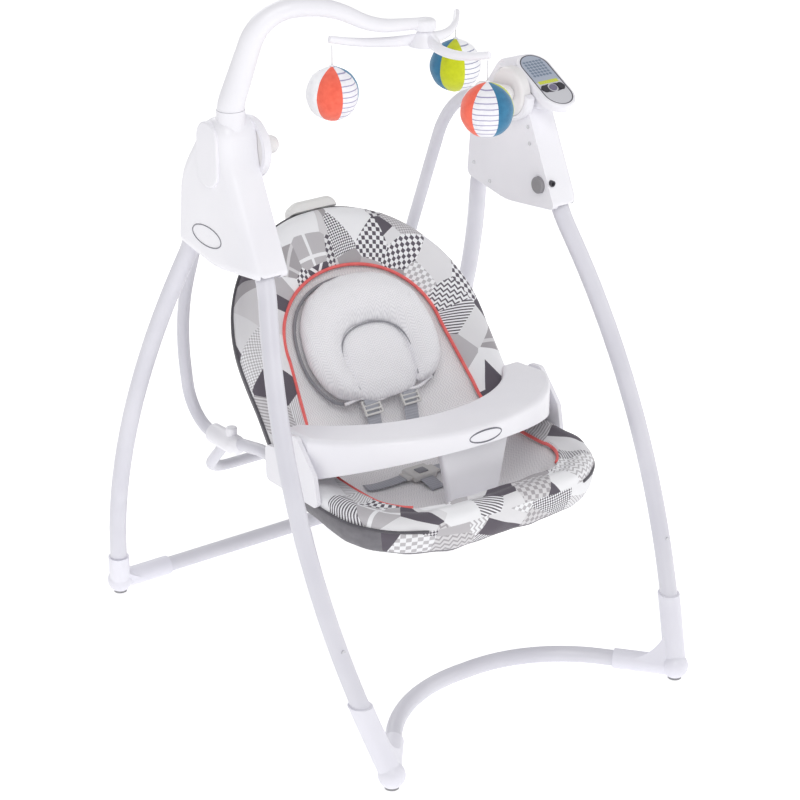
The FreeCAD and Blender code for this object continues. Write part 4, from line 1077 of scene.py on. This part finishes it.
def on_tray(across, rise):
    bow = tray_curve - math.sqrt(tray_curve ** 2 - across ** 2)
    return Vector((across, tray_low.y + bow + 0.0002, tray_high.z - 0.0155 + rise))


oval_ring("tray_badge", on_tray, 0.030, 0.0095, 0.0013, "tray")


# ------------------------------------------------------------------ control panel
def panel_print():
    """The panel's print, drawn from the middle of the head and up its tilt."""
    finish = Finish("panel_print")
    low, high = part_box("control_panel")
    middle = (low + high) / 2
    tilt = math.atan2(high.z - low.z, high.y - low.y)
    place = finish.node("VectorMath", operation="SUBTRACT")
    finish.link(finish.object_place(), place.inputs[0])
    finish.link(tuple(middle), place.inputs[1])
    turned = finish.node("VectorRotate", rotation_type="X_AXIS", invert=True)
    finish.link(place.outputs[0], turned.inputs["Vector"])
    turned.inputs["Angle"].default_value = tilt
    u, v, _ = finish.split(turned.outputs[0])
    half_run = panel_half_length - panel_half_width
    beyond = finish.math("MAXIMUM", finish.math("SUBTRACT", finish.math("ABSOLUTE", v),
                                                half_run), 0.0)
    off = finish.math("SQRT", finish.math("ADD", finish.math("MULTIPLY", u, u),
                                          finish.math("MULTIPLY", beyond, beyond)))
    outline = finish.math("GREATER_THAN", off, panel_half_width - 0.0022)
    upper = finish.math("GREATER_THAN", v, -0.004)
    blue_grey = tone(172, 180, 196)
    body = finish.mix(upper, tone(206, 206, 212), blue_grey)

    def spots(low_v, high_v, pitch, size, colour, under):
        """Rows of small round marks between two levels."""
        near = finish.math("MULTIPLY", finish.math("GREATER_THAN", v, low_v),
                           finish.math("LESS_THAN", v, high_v))
        inside = finish.math("LESS_THAN", finish.math("ABSOLUTE", u), 0.019)
        across = finish.math("SUBTRACT", finish.math("PINGPONG", u, pitch / 2), pitch / 4)
        along = finish.math("SUBTRACT", finish.math("PINGPONG", finish.math(
            "SUBTRACT", v, low_v), pitch / 2), pitch / 4)
        reach = finish.math("SQRT", finish.math("ADD", finish.math("MULTIPLY", across, across),
                                                finish.math("MULTIPLY", along, along)))
        dot = finish.math("LESS_THAN", reach, size)
        share = finish.math("MULTIPLY", dot, finish.math("MULTIPLY", near, inside))
        return finish.mix(share, under, colour)

    body = spots(0.008, 0.044, 0.0125, 0.0026, tone(118, 132, 152), body)
    body = spots(-0.0085, -0.0015, 0.0070, 0.0021, tone(206, 214, 60), body)
    key_row = finish.math("ADD", v, 0.019)

    def oval(wide, high):
        across = finish.math("POWER", finish.math("DIVIDE", u, wide), 2.0)
        along = finish.math("POWER", finish.math("DIVIDE", key_row, high), 2.0)
        return finish.math("LESS_THAN", finish.math("ADD", across, along), 1.0)

    body = finish.mix(oval(0.0235, 0.0092), body, tone(66, 62, 78))
    body = finish.mix(oval(0.0088, 0.0092), body, tone(206, 206, 212))
    finish.link(finish.mix(outline, body, tone(70, 68, 80)),
                finish.shader.inputs["Base Color"])
    finish.link(finish.spread(finish.noise(place.outputs[0], 60.0), 0.3, 0.42),
                finish.shader.inputs["Roughness"])
    finish.bump(finish.noise(place.outputs[0], 1200.0), 0.0001, 0.3)
    return finish.material


panel_low, panel_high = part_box("control_panel")
panel_half_width = (panel_high.x - panel_low.x) / 2
panel_half_length = math.hypot(panel_high.y - panel_low.y, panel_high.z - panel_low.z) / 2


def repaint(node, material):
    frame["nodes"][node].data.materials.clear()
    frame["nodes"][node].data.materials.append(material)


purple_grey = moulded("purple_grey_key", tone(126, 120, 146), tone(114, 108, 134), 0.35)
disc_cream = moulded("disc_plastic", tone(238, 236, 237), tone(230, 228, 229), 0.4)
handle_grey = moulded("handle_plastic", tone(240, 239, 238), tone(232, 231, 230), 0.45)
button_grey = moulded("button_plastic", tone(150, 148, 152), tone(138, 136, 140), 0.4)
repaint("control_panel", panel_print())
repaint("panel_button_round", purple_grey)
repaint("hub_left", disc_cream)
repaint("hub_right", disc_cream)
repaint("recline_handle", handle_grey)
repaint("fold_button_right", button_grey)
repaint("fold_button_left", button_grey)
